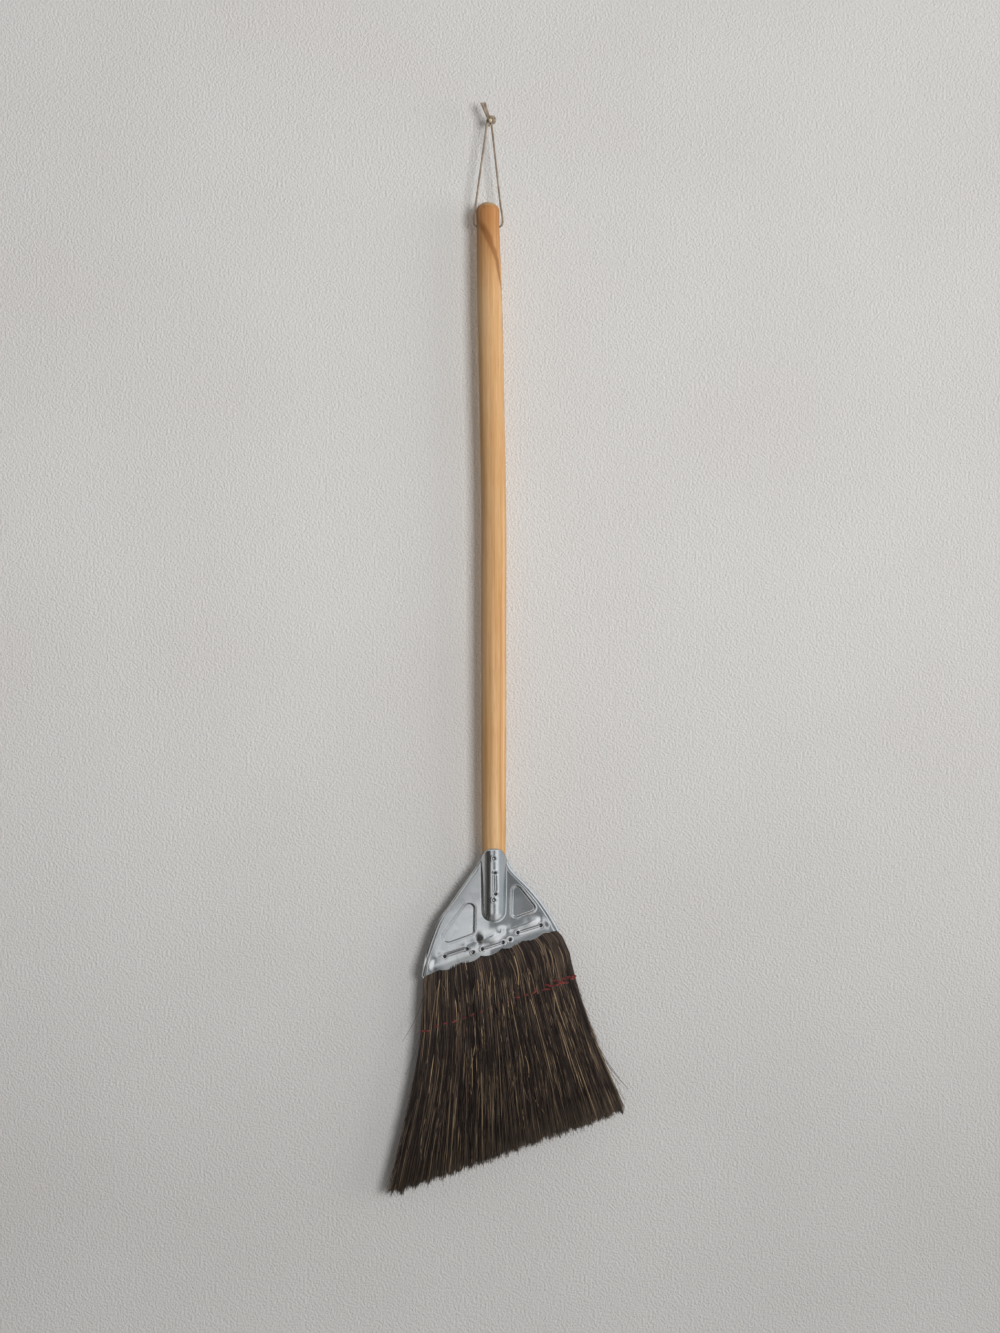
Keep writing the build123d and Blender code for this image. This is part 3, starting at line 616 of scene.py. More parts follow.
def shaved_pine():
    """Pine with a hand-rubbed surface: pale honey wood, fine lines along the grain, a brown knot that
    runs out as a streak near the top, one reddish resin line low down, and paler end grain."""
    material, tree, place = new_material("shaved_pine")
    x, y, z = node(tree, "SeparateXYZ", place).outputs
    # Growth lines a few millimetres apart and tens of centimetres long, fine pores, broad clouds of
    # colour, and the slow sway of a line along the wood
    grain = []
    for scale, detail, roughness in (((260.0, 260.0, 4.5), 4.0, 0.55), ((1900.0, 1900.0, 60.0), 3.0, 0.5),
                                     ((40.0, 40.0, 9.0), 2.0, 0.5), ((0.0, 0.0, 14.0), 1.0, 0.5)):
        drawn_out = node(tree, "Mapping", place, Scale=scale)
        grain.append(node(tree, "TexNoise", drawn_out, Scale=1.0, Detail=detail, Roughness=roughness))
    growth, pores, broad, sway = grain
    # Marks in the wood are placed by how far they lie round the handle from its front, in metres
    leaning = node(tree, "MapRange", z, BEND_Z, 0.0, SOCKET_X, SOCKET_X + HANDLE_LEAN * BEND_Z)
    off_middle = node(tree, "Math", x, leaning, operation="SUBTRACT")
    forward = node(tree, "Math", y, -1.0, operation="MULTIPLY")
    angle = node(tree, "Math", off_middle, forward, operation="ARCTAN2")
    arc = node(tree, "Math", angle, HANDLE_ROUND, operation="MULTIPLY")
    front = node(tree, "MapRange", y, 0.004, -0.004)

    def away_from(line):
        """How far round the handle a point lies from a line."""
        return node(tree, "Math", node(tree, "Math", arc, line, operation="SUBTRACT"), operation="ABSOLUTE")

    # The knot's streak starts broad on the left, 18 mm below the top, and runs down to the right
    wander = node(tree, "TexNoise", place, Scale=60.0, Detail=2.0)
    down = node(tree, "MapRange", z, -0.083, -0.149)
    fall = node(tree, "Math", down, 0.62, operation="POWER")
    streak_x = node(tree, "MapRange", fall, 0.0, 1.0, -0.0125, 0.0160)
    shifted = node(tree, "MapRange", wander, 0.0, 1.0, -0.0035, 0.0035)
    off = away_from(node(tree, "Math", streak_x, shifted, operation="ADD"))
    width = node(tree, "MapRange", down, 0.0, 1.0, 0.0052, 0.0016)
    near = node(tree, "Math", off, width, operation="DIVIDE")
    streak = node(tree, "MapRange", near, 0.15, 1.25, 1.0, 0.0, interpolation_type="SMOOTHERSTEP")
    # The resin line on the lower half, towards the right
    apart = away_from(node(tree, "MapRange", sway, 0.0, 1.0, 0.0042, 0.0088))
    resin = node(tree, "MapRange", apart, 0.0002, 0.0009, 0.42, 0.0)
    # Both marks lie on the front only, and fade in downwards
    streak, resin = (
        node(tree, "Math", node(tree, "Math", mark, front, operation="MULTIPLY"),
             node(tree, "MapRange", z, begins, full, 0.0, most), operation="MULTIPLY")
        for mark, begins, full, most in ((streak, -0.083, -0.092, 0.8), (resin, -0.37, -0.43, 1.0)))
    # End grain, where the surface faces upwards
    _, _, upwards = node(tree, "SeparateXYZ", node(tree, "NewGeometry").outputs["Normal"]).outputs
    wood = node(tree, "ValToRGB", growth,
                stops=[(0.30, "C49A68"), (0.46, "D6AE7F"), (0.60, "E0BC90"), (0.74, "CFA575")])
    for share, over, blend in (
            (0.6, node(tree, "ValToRGB", broad, stops=[(0.3, "F0E0CC"), (0.7, "FFFFFF")]), "MULTIPLY"),
            (0.35, node(tree, "ValToRGB", pores, stops=[(0.30, "C8AE90"), (0.52, "FFFFFF")]), "MULTIPLY"),
            (streak, "976A3E", "MIX"),
            # Around the top the wood is a deeper orange
            (node(tree, "MapRange", z, -0.150, -0.085, 0.0, 0.75), "D6B48E", "MULTIPLY"),
            (resin, "A86A44", "MIX"),
            (node(tree, "MapRange", upwards, 0.45, 0.8, 0.0, 0.75), "CDB083", "MIX")):
        wood = node(tree, "Mix", share, wood, over, data_type="RGBA", blend_type=blend)
    bump = node(tree, "Bump", Height=pores, Strength=0.25, Distance=0.0002)
    return surfaced(material, {"Base Color": wood, "Normal": bump, "Roughness": 0.5,
                               "Specular IOR Level": 0.35})


piece("pine_handle", handle_mesh, shaved_pine(), "broom", ["handle"])


# ---------- pressed steel cap
# Two shells pressed from half-millimetre galvanised sheet make the round socket, the flat wings with
# their two sunk panels, and the scalloped mouth that clamps the fibre. The back shell's edge is
# rolled forward over that of the front one.

# Sizes in this section are in millimetres: "down" from the top of the socket, "out" from its middle, and
# u, v along the mouth and square to it
flex = joints["bristle_flex"]
along = Vector(flex["axis"])
across = Vector((-along.z, 0, along.x))
FLEX_BELOW_MOUTH = 6.5
mouth = Vector(flex["pos_m"]) / MM + across * FLEX_BELOW_MOUTH
cap_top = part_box("front_shell")[1].z / MM
socket_x = SOCKET_X / MM
SHEET = 0.5
SOCKET_RADIUS = 10.9
SOCKET_END = 54.3               # middle of the socket's round lower end, down from the top
ARCH = 10.8                     # the top edge falls this far from the middle to the sides
ARCH_POWER = 3.6                # flat in the middle, steep at the sides
CAP_DEPTH = 8.4                 # half the thickness of the cap at its mouth
HEM = 2.6
SHOULDER = 2.3                  # the wing rises this much as it comes out from under the hem
left_edge = [(-11.7, 10.0), (-16.4, 18.0), (-23.9, 28.3), (-38.7, 49.7), (-48.2, 63.6), (-56.2, 84.4),
             (-60.3, 99.0), (-62.8, 111.9)]
right_edge = [(11.7, 10.0), (14.4, 16.0), (18.2, 21.2), (30.2, 33.0), (40.1, 44.6), (48.1, 55.8),
              (53.6, 65.0), (56.8, 70.9)]
TOP_DEPTH = 0.28                # share of CAP_DEPTH that is left at the top
LOBES = 5
LOBE_WIDTH = 18.9
LOBE_DEPTH = 2.5
ROWS_CROWD = 0.7                # the sheet's mesh is finer towards the mouth
PANEL_SINK = 1.25
GROOVE_DEEP = 0.45              # under a staple's crown
DRAWN_IN = 0.75                 # how far the sheet is drawn in along the staples, at which v, how wide
DRAWN_AT = 7.0
DRAWN_WIDE = 4.5
CREASE_SHADE = 0.36              # how dark the painted shade is beside the hem and on the upper wings, and how dark the lip is drawn
WING_SHADE = 0.235
LIP_DARKENING = 0.3
# Each sunk panel is a triangle with round corners: the middle of each corner, out and down, and its radius
panels = [
    [(-21.1, 52.3, 4.5), (-20.1, 70.9, 3.2), (-39.0, 76.4, 4.6)],
    [(20.0, 37.1, 3.9), (32.2, 51.3, 3.2), (18.8, 56.2, 3.2)],
]
# Wires that clamp the fibre, each from leg to leg along its groove, and the punched pins between them.
# They and the nails have pulled the sheet in where they sit
mouth_staples = {
    "mouth_staple_left": ((-39.2, 9.1), (-18.8, 8.9)),
    "mouth_staple_middle": ((-6.4, 4.6), (12.5, 3.9)),
    "mouth_staple_right": ((27.1, 7.5), (48.0, 6.5)),
}
mouth_pins = {"mouth_rivet_left": (-14.8, 4.6), "mouth_rivet_right": (18.9, 4.2)}
# Down the socket: the flat nails, and the two legs of the staple between them
socket_nails = {"socket_nail_upper": 8.5, "socket_nail_lower": 44.2}
socket_staple = ((1.1, 20.7), (1.7, 39.0))
# Dents and bulges: u, v, how wide, how high (below nothing is a dent)
hand_dents = [(-8.8, 12.0, 3.8, -0.8), (-1.5, 14.0, 5.0, 1.4), (6.5, 12.5, 5.0, 1.1),
              (14.8, 15.0, 2.6, 0.9), (17.5, 11.8, 2.4, -0.4), (23.5, 12.5, 4.0, -0.3),
              (-46.0, 15.0, 4.0, -0.3), (-18.5, 12.6, 3.4, 0.3), (50.0, 11.0, 3.4, -0.45),
              (40.0, 13.5, 5.0, 0.5), (-57.0, 4.5, 8.0, 2.3), (56.0, 4.0, 4.0, 1.1)]


def edge_point(edge, share):
    """A point on a side edge of the cap, from its top (0) to its corner at the mouth (1)."""
    place = share * (len(edge) - 1)
    index = min(int(place), len(edge) - 2)
    p = [Vector(edge[min(max(index + step, 0), len(edge) - 1)]) for step in (-1, 0, 1, 2)]
    t = place - index
    return 0.5 * (2 * p[1] + (p[2] - p[0]) * t + (2 * p[0] - 5 * p[1] + 4 * p[2] - p[3]) * t * t
                  + (3 * p[1] - p[0] - 3 * p[2] + p[3]) * t ** 3)


def at_mouth(u, v, y=0.0):
    """A point given along the mouth, square to it and from front to back."""
    return mouth + along * u + across * v + Vector((0, y, 0))


def mouth_place(x, z):
    """The same point's u and v."""
    away = Vector((x, 0, z)) - mouth
    return away.dot(along), away.dot(across)


def scallop(u, u_left, v_left, u_right, v_right):
    """V of the cap's lower edge: a plain stretch to each corner and five lobes between them."""
    half = LOBES * LOBE_WIDTH / 2
    if u < -half:
        return v_left * (u + half) / (u_left + half)
    if u > half:
        return v_right * (u - half) / (u_right - half)
    across_lobe = ((u + half) / LOBE_WIDTH) % 1.0
    return -LOBE_DEPTH * (1 - (2 * across_lobe - 1) ** 2) ** 0.8


def soft_max(a, b, blend):
    """The larger of two heights, with a rounded corner between them."""
    overlap = max(blend - abs(a - b), 0.0) / blend
    return max(a, b) + overlap * overlap * blend * 0.25


def step_between(value, low, high):
    """0 to 1, smoothly, as a value goes from low to high."""
    share = limited((value - low) / (high - low))
    return share * share * (3 - 2 * share)


def outside_panel(out, down, corners):
    """How far a point lies outside a triangle with rounded corners; below nothing is inside."""
    nearest, within = 99.0, 0
    for (x0, y0, r0), (x1, y1, r1) in zip(corners, corners[1:] + corners[:1]):
        run = (x1 - x0) ** 2 + (y1 - y0) ** 2
        share = limited(((out - x0) * (x1 - x0) + (down - y0) * (y1 - y0)) / run)
        away = hypot(out - x0 - share * (x1 - x0), down - y0 - share * (y1 - y0))
        nearest = min(nearest, away - r0 - share * (r1 - r0))
        within += 1 if (x1 - x0) * (down - y0) - (y1 - y0) * (out - x0) > 0 else -1
    return -2.0 if abs(within) == 3 and nearest > -2.0 else nearest


def pressed_height(x, z, share, place, front):
    """How far the sheet bulges out of the cap's middle plane at a point, and how much painted shade
    darkens it there. Place runs from 0 to 1 from edge to edge."""
    u, v = mouth_place(x, z)
    left, right = edge_point(left_edge, share), edge_point(right_edge, share)
    width = (right - left).length
    inside = min(place, 1 - place) * width - HEM * step_between(share, 0.02, 0.2)
    lens_place = limited(inside / max(1.0, width / 2 - HEM))
    depth = TOP_DEPTH + (1 - TOP_DEPTH) * step_between(share, 0, 1) ** 1.5
    # Each wing comes up steeply beside the hem, then lies nearly flat, and they meet in a soft ridge
    shoulder = SHOULDER * step_between(inside, -0.4, 1.6)
    blunted = 0.25 * share ** 4
    ridge = (1 - (1 - lens_place ** 1.5) ** 1.3) * (1 - blunted) + blunted * lens_place ** 0.6
    lens = SHEET + depth * (shoulder + (CAP_DEPTH - SHEET - SHOULDER) * ridge)
    # The sheet is drawn in along the line of the staples, below a soft ridge
    lens -= DRAWN_IN * exp(-((v - DRAWN_AT) / DRAWN_WIDE) ** 2) * step_between(inside, 2.0, 9.0)
    lens += 0.28 * exp(-((v - 12.2) / 1.5) ** 2) * step_between(inside, 6.0, 12.0)
    for corners in panels:
        if abs(x - socket_x - corners[0][0]) < 40:
            outside = outside_panel(x - socket_x, cap_top - z, corners)
            lens -= PANEL_SINK * step_between(-outside, -0.7, 0.7) - 0.18 * exp(-((outside - 1.1) / 0.7) ** 2)
    down = cap_top - z
    below_end = max(0.0, down - SOCKET_END)
    around = SOCKET_RADIUS ** 2 - (x - socket_x) ** 2 - below_end ** 2
    height = lens
    if around > 0:
        height = soft_max(lens, sqrt(around), 1.3)
    elif abs(x - socket_x) < SOCKET_RADIUS + 3 and below_end < SOCKET_RADIUS + 3:
        height = soft_max(lens, -sqrt(-around) * 0.6, 1.3)
    for dent_u, dent_v, wide, high in hand_dents:
        away = ((u - dent_u) ** 2 + (v - dent_v) ** 2) / wide ** 2
        if away < 6:
            height += high * exp(-away) * (1.0 if front else 0.5)
    pulled_in = 0.0
    for legs in mouth_staples.values():
        pulled_in += groove(u, v, legs, front)
    for pin_u, pin_v in mouth_pins.values():
        pulled_in += pit(hypot(u - pin_u, v - pin_v), 2.0, 1.3)
    if front:
        for pin_down in socket_nails.values():
            pulled_in += pit(hypot(x - socket_x, down - pin_down), 2.2, 1.2)
        (x0, down0), (x1, down1) = socket_staple
        pulled_in += groove(x, -down, ((socket_x + x0, -down0), (socket_x + x1, -down1)), True)
    height -= pulled_in
    rough = noise.noise(Vector((x, z, 3 if front else 31)) * 0.09) * (0.02 + 0.10 * step_between(-v, -18, -10))
    # Painted shade darkens the punched places, the crease beside the hem and the upper wings. The lip
    # is drawn darker too, left of the middle
    crease = CREASE_SHADE * exp(-((inside - 0.2) / 0.8) ** 2) * step_between(share, 0.02, 0.15)
    wing_shade = WING_SHADE * (1 - step_between(share, 0.4, 0.65)) * step_between(abs(x - socket_x), 10.6, 12.2)
    darker_lip = (LIP_DARKENING * step_between(-v, -6.5, -1.5) * step_between(-u, -2.0, 14.0)
             * step_between(u, -56.0, -50.0))
    return (max(SHEET, height + rough * step_between(inside, 0.5, 6.0)),
            limited(max(crease, wing_shade, darker_lip, pulled_in)))


def pit(distance, radius, deep):
    """A punched pit with a slightly raised rim."""
    if distance > radius * 2:
        return 0.0
    return deep * exp(-(distance / (radius * 0.66)) ** 3) - 0.28 * exp(-((distance - radius) / 0.55) ** 2)


def groove(u, v, legs, front):
    """The groove that a staple has pressed into the sheet, with a deeper pit at each leg."""
    (u0, v0), (u1, v1) = legs
    run = hypot(u1 - u0, v1 - v0)
    forward = ((u - u0) * (u1 - u0) + (v - v0) * (v1 - v0)) / run
    aside = ((u - u0) * (v1 - v0) - (v - v0) * (u1 - u0)) / run
    if abs(aside) > 6 or forward < -6 or forward > run + 6:
        return 0.0
    ends = step_between(forward, -1.5, 0.5) * step_between(run - forward, -1.5, 0.5)
    lowered = GROOVE_DEEP * exp(-(aside / 1.6) ** 2) * ends
    for end in (0.0, run):
        lowered += pit(hypot(forward - end, aside), 1.9, 1.0 if front else 0.5)
    return lowered


def shell_mesh(front, columns, rows):
    """One pressed shell: a plain rectangle of sheet drawn to the cap's outline, then pressed."""
    sheet = bmesh.new()
    bmesh.ops.create_grid(sheet, x_segments=columns, y_segments=rows, size=0.5)
    painted_shade = sheet.verts.layers.float.new("painted_shade")
    u_left, v_left = mouth_place(socket_x + left_edge[-1][0], cap_top - left_edge[-1][1])
    u_right, v_right = mouth_place(socket_x + right_edge[-1][0], cap_top - right_edge[-1][1])
    for vertex in sheet.verts:
        place, share = vertex.co.x + 0.5, 0.5 - vertex.co.y
        share = share ** ROWS_CROWD
        left, right = edge_point(left_edge, share), edge_point(right_edge, share)
        out, down = left.lerp(right, place)
        near_top = (1 - share) ** 7
        arch = ARCH * min(1.0, abs(out) / 11.7) ** ARCH_POWER
        down += (arch - left_edge[0][1]) * near_top
        x, z = socket_x + out, cap_top - down
        u, v = mouth_place(x, z)
        chord = v_left + (v_right - v_left) * (u - u_left) / (u_right - u_left)
        drop = (scallop(u, u_left, v_left, u_right, v_right) - chord) * share ** 14
        x, z = x + across.x * drop, z + across.z * drop
        height, vertex[painted_shade] = pressed_height(x, z, share, place, front)
        vertex.co = (x, -height if front else height, z)
    bmesh.ops.recalc_face_normals(sheet, faces=sheet.faces)
    on_socket = Vector((socket_x, 0, cap_top - 30))
    middle = min(sheet.faces, key=lambda face: (face.calc_center_median() - on_socket).length)
    if (middle.normal.y > 0) == front:
        bmesh.ops.reverse_faces(sheet, faces=sheet.faces)
    return meshed(sheet, "shell", unit=MM)


def galvanised_sheet():
    """Bright galvanised steel, drawn in a press: a soft grey mirror with faint zinc spangle and fine
    rubbing marks. Painted shade darkens the punched pits, the crease beside the hem and the upper wings, and
    the lip is darker left of the middle."""
    material, tree, place = new_material("galvanised_sheet")
    # Spangle 6 mm across and clouds of 22 mm. The rubbing marks are drawn 1 mm wide, so that they show
    spangle = node(tree, "TexVoronoi", place, Scale=170.0, Randomness=1.0)
    clouds = node(tree, "TexNoise", place, Scale=45.0, Detail=4.0)
    fine = node(tree, "TexNoise", place, Scale=900.0, Detail=3.0)
    grains = node(tree, "SeparateColor", spangle.outputs["Color"])
    mixed = node(tree, "Mix", 0.25, clouds, grains)
    colour = node(tree, "ValToRGB", mixed, stops=[(0.25, "BEC1C4"), (0.5, "C4C7C9"), (0.75, "CACCCE")])
    rough = node(tree, "MapRange", mixed, 0.2, 0.8, 0.27, 0.21)
    bump = node(tree, "Bump", Height=fine, Strength=0.035, Distance=0.0002)
    # Painted shade: the shells' attribute darkens the colour in the pits, the hem crease and the upper wings,
    # and along the lip
    hollow = node(tree, "Attribute", attribute_name="painted_shade")
    shade_share = node(tree, "MapRange", hollow.outputs["Fac"], 0.12, 0.5, 0.0, 0.92)
    shaded = node(tree, "Mix", shade_share, colour, "3A3936", data_type="RGBA")
    return surfaced(material, {"Base Color": shaded, "Roughness": rough, "Normal": bump, "Metallic": 1.0})


sheet_steel = galvanised_sheet()
sheet_surface = {}
for name, front, columns, rows in (("cap_front", True, 190, 240), ("cap_back", False, 150, 170)):
    node_name = "front_shell" if front else "back_shell"
    mesh = shell_mesh(front, columns, rows)
    sheet_surface[front] = BVHTree.FromPolygons([vertex.co for vertex in mesh.vertices],
                                                [face.vertices[:] for face in mesh.polygons])
    shell = piece(name, mesh, sheet_steel, "broom", [node_name])
    wall_of_sheet = shell.modifiers.new("sheet", "SOLIDIFY")
    wall_of_sheet.thickness = SHEET * MM
    wall_of_sheet.offset = -1

# The rolled hem: the back shell's edge comes round and lies flat on the front shell's rim.
# Its section, as how far inside the edge and how far behind the middle plane
hem_section = [(HEM, -0.5), (HEM, -1.0), (HEM - 0.3, -1.3), (1.75, -1.28), (1.0, -1.05), (0.35, -0.65),
               (-0.1, -0.15), (0.05, 0.25), (0.5, 0.62), (1.4, 0.66), (HEM + 0.6, 0.62), (HEM + 0.6, 0.2),
               (1.0, -0.2)]
HEM_STEPS = 110


def hem_mesh():
    """The rolled edges of both sides, each a closed strip that follows the cap's edge."""
    rolled = bmesh.new()
    for edge, inward in ((left_edge, 1), (right_edge, -1)):
        strip = bmesh.ops.create_grid(rolled, x_segments=len(hem_section), y_segments=HEM_STEPS, size=0.5)
        for vertex in strip["verts"]:
            share = 0.5 - vertex.co.y
            index = round((vertex.co.x + 0.5) * len(hem_section)) % len(hem_section)
            inset, y = hem_section[index]
            inset *= step_between(share, -0.25, 0.12)
            here = edge_point(edge, share)
            behind, ahead = (edge_point(edge, limited(share + step)) for step in (-0.01, 0.01))
            heading = (ahead - behind).normalized()
            side = Vector((heading.y, -heading.x)) * inward
            spot = here + side * inset
            wobble = 0.12 * noise.noise(Vector((share * 14, index * 0.2, inward * 5)))
            vertex.co = (socket_x + spot.x, y * step_between(share, -0.3, 0.1) + wobble, cap_top - spot.y)
    bmesh.ops.remove_doubles(rolled, verts=rolled.verts, dist=1e-4)
    bmesh.ops.holes_fill(rolled, edges=[edge for edge in rolled.edges if edge.is_boundary], sides=0)
    bmesh.ops.recalc_face_normals(rolled, faces=rolled.faces)
    return meshed(rolled, "hem", 50, MM)


piece("cap_hem", hem_mesh(), sheet_steel, "broom")


# ---------- staples, pins and nails
# Three galvanised wire staples and two pins go right through the cap and the fibre and are clinched
# at the back. One more staple and two flat nails hold the socket to the handle.
WIRE = 0.62                     # radius
CLINCH = 6.0
CROWN_STEPS = 16


def sheet_y(x, z, front):
    """Depth of the shell's outer surface at a place, in millimetres."""
    start = Vector((x * MM, -0.05 if front else 0.05, z * MM))
    hit = sheet_surface[front].ray_cast(start, Vector((0, 1 if front else -1, 0)))[0]
    return hit.y / MM if hit else (-SHEET if front else SHEET)


def bright_wire():
    """Zinc-coated soft steel wire: smooth drawn metal, a little darker than the sheet."""
    material, tree, place = new_material("bright_wire")
    drawn = node(tree, "TexNoise", place, Scale=500.0, Detail=2.0)     # marks of 2 mm
    rough = node(tree, "MapRange", drawn, 0.0, 1.0, 0.22, 0.45)
    colour = node(tree, "ValToRGB", drawn, stops=[(0.3, "C2C5C8"), (0.7, "DCDEE0")])
    return surfaced(material, {"Roughness": rough, "Base Color": colour, "Metallic": 1.0})


def wire_between(place_a, place_b):
    """Points of a staple's crown that lies in its groove at the front and dives in at each leg."""
    made = []
    for index in range(CROWN_STEPS + 1):
        share = index / CROWN_STEPS
        spot = place_a.lerp(place_b, share)
        lift = WIRE * 1.05 * step_between(share, -0.02, 0.10) * step_between(1 - share, -0.02, 0.10)
        spot.y = sheet_y(spot.x, spot.z, True) - lift + (1 - lift / (WIRE * 1.05))
        made.append(spot)
    return made


def staple(name, line):
    """One staple: round wire bent along its line."""
    line = smooth_line([point * MM for point in line])
    piece(name + "_wire", strands([line], WIRE * MM, 3), wire_steel, "broom", [name])


wire_steel = bright_wire()
for name, legs in mouth_staples.items():
    left, right = at_mouth(*legs[0]), at_mouth(*legs[1])
    clinch = CLINCH / (right - left).length
    tips = [Vector((spot.x, sheet_y(spot.x, spot.z, False), spot.z))
            for spot in (left.lerp(right, clinch), left, right, right.lerp(left, clinch))]
    out = Vector((0, WIRE * 0.7, 0))
    staple(name, [tips[0] + out, tips[1] + out, tips[1] - out * 2, *wire_between(left, right),
                  tips[2] - out * 2, tips[2] + out, tips[3] + out])
crown = wire_between(*(Vector((socket_x + out, 0, cap_top - down)) for out, down in socket_staple))
shallow, deep = Vector((0, 2.0, 0)), Vector((0, 10.0, 0))
staple("socket_staple", [crown[0] + deep, crown[0] + shallow, *crown, crown[-1] + shallow, crown[-1] + deep])


def pin_mesh(place, head_radius, shank, front_y, back_y, headed_behind):
    """A pin turned about its own axis: a dished head at the front, a shank, a point or a second head."""
    section = [(0.0, front_y - 0.10), (head_radius * 0.45, front_y - 0.12), (head_radius * 0.8, front_y - 0.36),
               (head_radius, front_y - 0.18), (head_radius, front_y + 0.12), (shank, front_y + 0.30)]
    if headed_behind:
        section += [(shank, back_y - 0.3), (head_radius, back_y - 0.12), (head_radius, back_y + 0.18),
                    (head_radius * 0.8, back_y + 0.34), (0.0, back_y + 0.38)]
    else:
        section += [(shank, back_y - 2.0), (0.0, back_y)]
    turned = bmesh.new()
    ring = [turned.verts.new((radius, y, 0)) for radius, y in section]
    edges = [turned.edges.new(pair) for pair in zip(ring, ring[1:])]
    bmesh.ops.spin(turned, geom=ring + edges, cent=(0, 0, 0), axis=(0, 1, 0), angle=2 * pi, steps=28,
                   use_merge=True, dvec=(0, 0, 0))
    bmesh.ops.remove_doubles(turned, verts=turned.verts, dist=1e-4)
    bmesh.ops.recalc_face_normals(turned, faces=turned.faces)
    moved(turned, by=(place.x, 0, place.z))
    return meshed(turned, "pin", 55, MM)


for name, (u, v) in mouth_pins.items():
    spot = at_mouth(u, v)
    mesh = pin_mesh(spot, 1.0, 0.5, sheet_y(spot.x, spot.z, True), sheet_y(spot.x, spot.z, False), True)
    piece(name + "_pin", mesh, wire_steel, "broom", [name])
for name, down in socket_nails.items():
    spot = Vector((socket_x, 0, cap_top - down))
    mesh = pin_mesh(spot, 1.05, 0.6, sheet_y(spot.x, spot.z, True), 3.6, False)
    piece(name + "_head", mesh, wire_steel, "broom", [name])


# ---------- palm fibre
# Five hanks of dark palm fibre, clamped in the cap and cut off on the slant. The fibres fan out to the
# left with the brush; those right of the middle splay to the right over their neighbours.

# Sizes in this section are in millimetres: "below" from the mouth, square to it
HANKS = 5
INNER_FIBRES = 2000             # in each hank
OUTER_FIBRES = 2100
FIBRE = 0.25                    # radius at the root
INTO_CAP = 7.0
CUT_BELOW = 165.0
brush_left = [(-7.0, -55.5), (0.0, -61.0), (12.0, -66.8), (45.0, -79.3), (80.0, -97.0), (98.0, -107.0),
              (134.0, -129.8), (158.0, -145.0), (172.0, -153.5)]
brush_right = [(-7.0, 53.5), (0.0, 58.0), (8.0, 62.0), (23.0, 63.4), (44.0, 60.6), (80.0, 58.8), (128.0, 59.6),
               (172.0, 62.3)]
half_depths = [(-7.0, 4.4), (-1.5, 6.0), (1.5, 7.6), (12.0, 8.3), (45.0, 8.0), (105.0, 10.2), (172.0, 12.3)]
INNER_STEPS = (-INTO_CAP, 2.0, 20.0, 60.0, 115.0, CUT_BELOW)
OUTER_STEPS = (-INTO_CAP, 0.5, 9.0, 24.0, 44.0, 66.0, 90.0, 116.0, 142.0, CUT_BELOW)


def fibre_place(share, level, below):
    """A point in the brush: share from its left to its right edge, level from back (-1) to front (1)."""
    left, right = between(brush_left, below), between(brush_right, below)
    depth = between(half_depths, below)
    out = abs(2 * share - 1)
    clamped = 1 - min(1.0, out) ** 2
    freed = 0.22 + 0.78 * (1 - min(1.0, out) ** 2.4)
    loose = step_between(below, 0, 18)
    depth *= clamped + (freed - clamped) * loose
    return at_mouth(left + (right - left) * share, -below, -level * depth)


def parted(share, below):
    """The fibres right of the middle cross over to the right as they come out of the cap."""
    fan = 0.030 * exp(-((share - 0.62) / 0.22) ** 2) * step_between(below, 0, 120)
    return share + fan


def fibre_lines(hank, count, steps, outer, seed):
    """The lines of one hank's fibres, their tones and their thicknesses."""
    draw = random.Random(seed)
    lines, tones, sizes = [], [], []
    for _ in range(count):
        root = (hank + draw.random()) / HANKS
        level = copysign(draw.uniform(0.72, 1.0) if outer else 0.8 * draw.random() ** 0.6, draw.random() - 0.5)
        lock = noise.noise(Vector((root * 46, level * 1.5, 5)))
        lock += 0.6 * noise.noise(Vector((root * 110, level * 2, 8)))
        clump = noise.noise(Vector((root * 125, level * 2.5, 12)))
        roam = 0.026 if outer else 0.014
        tip = root + draw.gauss(0, roam) + 0.022 * lock
        tip_level = level + 0.16 * clump + draw.gauss(0, 0.08)
        tip_level += 0.10 * noise.noise(Vector((tip * 60, level * 3, 2)))
        over = abs(2 * tip - 1) - (0.97 if tip > 0.5 else 0.99)
        if over > 0:
            tip -= copysign(over * draw.uniform(0.6, 1.15) / 2, tip - 0.5)
        length = CUT_BELOW + draw.gauss(-0.6, 2.4) + 5.0 * noise.noise(Vector((tip * 34, tip_level, 9)))
        if draw.random() < 0.14:
            length -= draw.random() ** 2 * 30
        waves = [(draw.uniform(0.2, 1.2), draw.uniform(0, 6.3), draw.uniform(14, 60)) for _ in range(2)]
        dive = 0.13 if outer else 0.0
        line = []
        for step in steps:
            below = min(step, length) if step < CUT_BELOW else length
            reach = step_between(below, -5, CUT_BELOW)
            share = parted(root + (tip - root) * reach, below)
            depth = level + (tip_level - level) * reach
            depth += dive * sin(waves[1][1] + below / (0.5 * waves[1][2])) * min(1.0, reach * 4)
            point = fibre_place(share, depth, below)
            sway = sum(size * sin(start + below / wave) for size, start, wave in waves) * reach
            point += along * sway * 0.8 + Vector((0, cos(waves[0][1]) * 0.4 * sway, 0))
            line.append(point * MM)
            if below >= length:
                break
        lines.append(line)
        # A few fibres are coarse and pale, and most of the rest are dark
        coarse = draw.random() < (0.07 if outer else 0.02)
        tone = 0.29 + 0.19 * draw.gauss(0, 1) + 0.10 * clump + 0.09 * lock
        tones.append(limited(tone + (draw.uniform(0.12, 0.42) if coarse else 0.0)))
        sizes.append(draw.uniform(1.1, 1.6) if coarse else draw.uniform(0.8, 1.4))
    return lines, tones, sizes


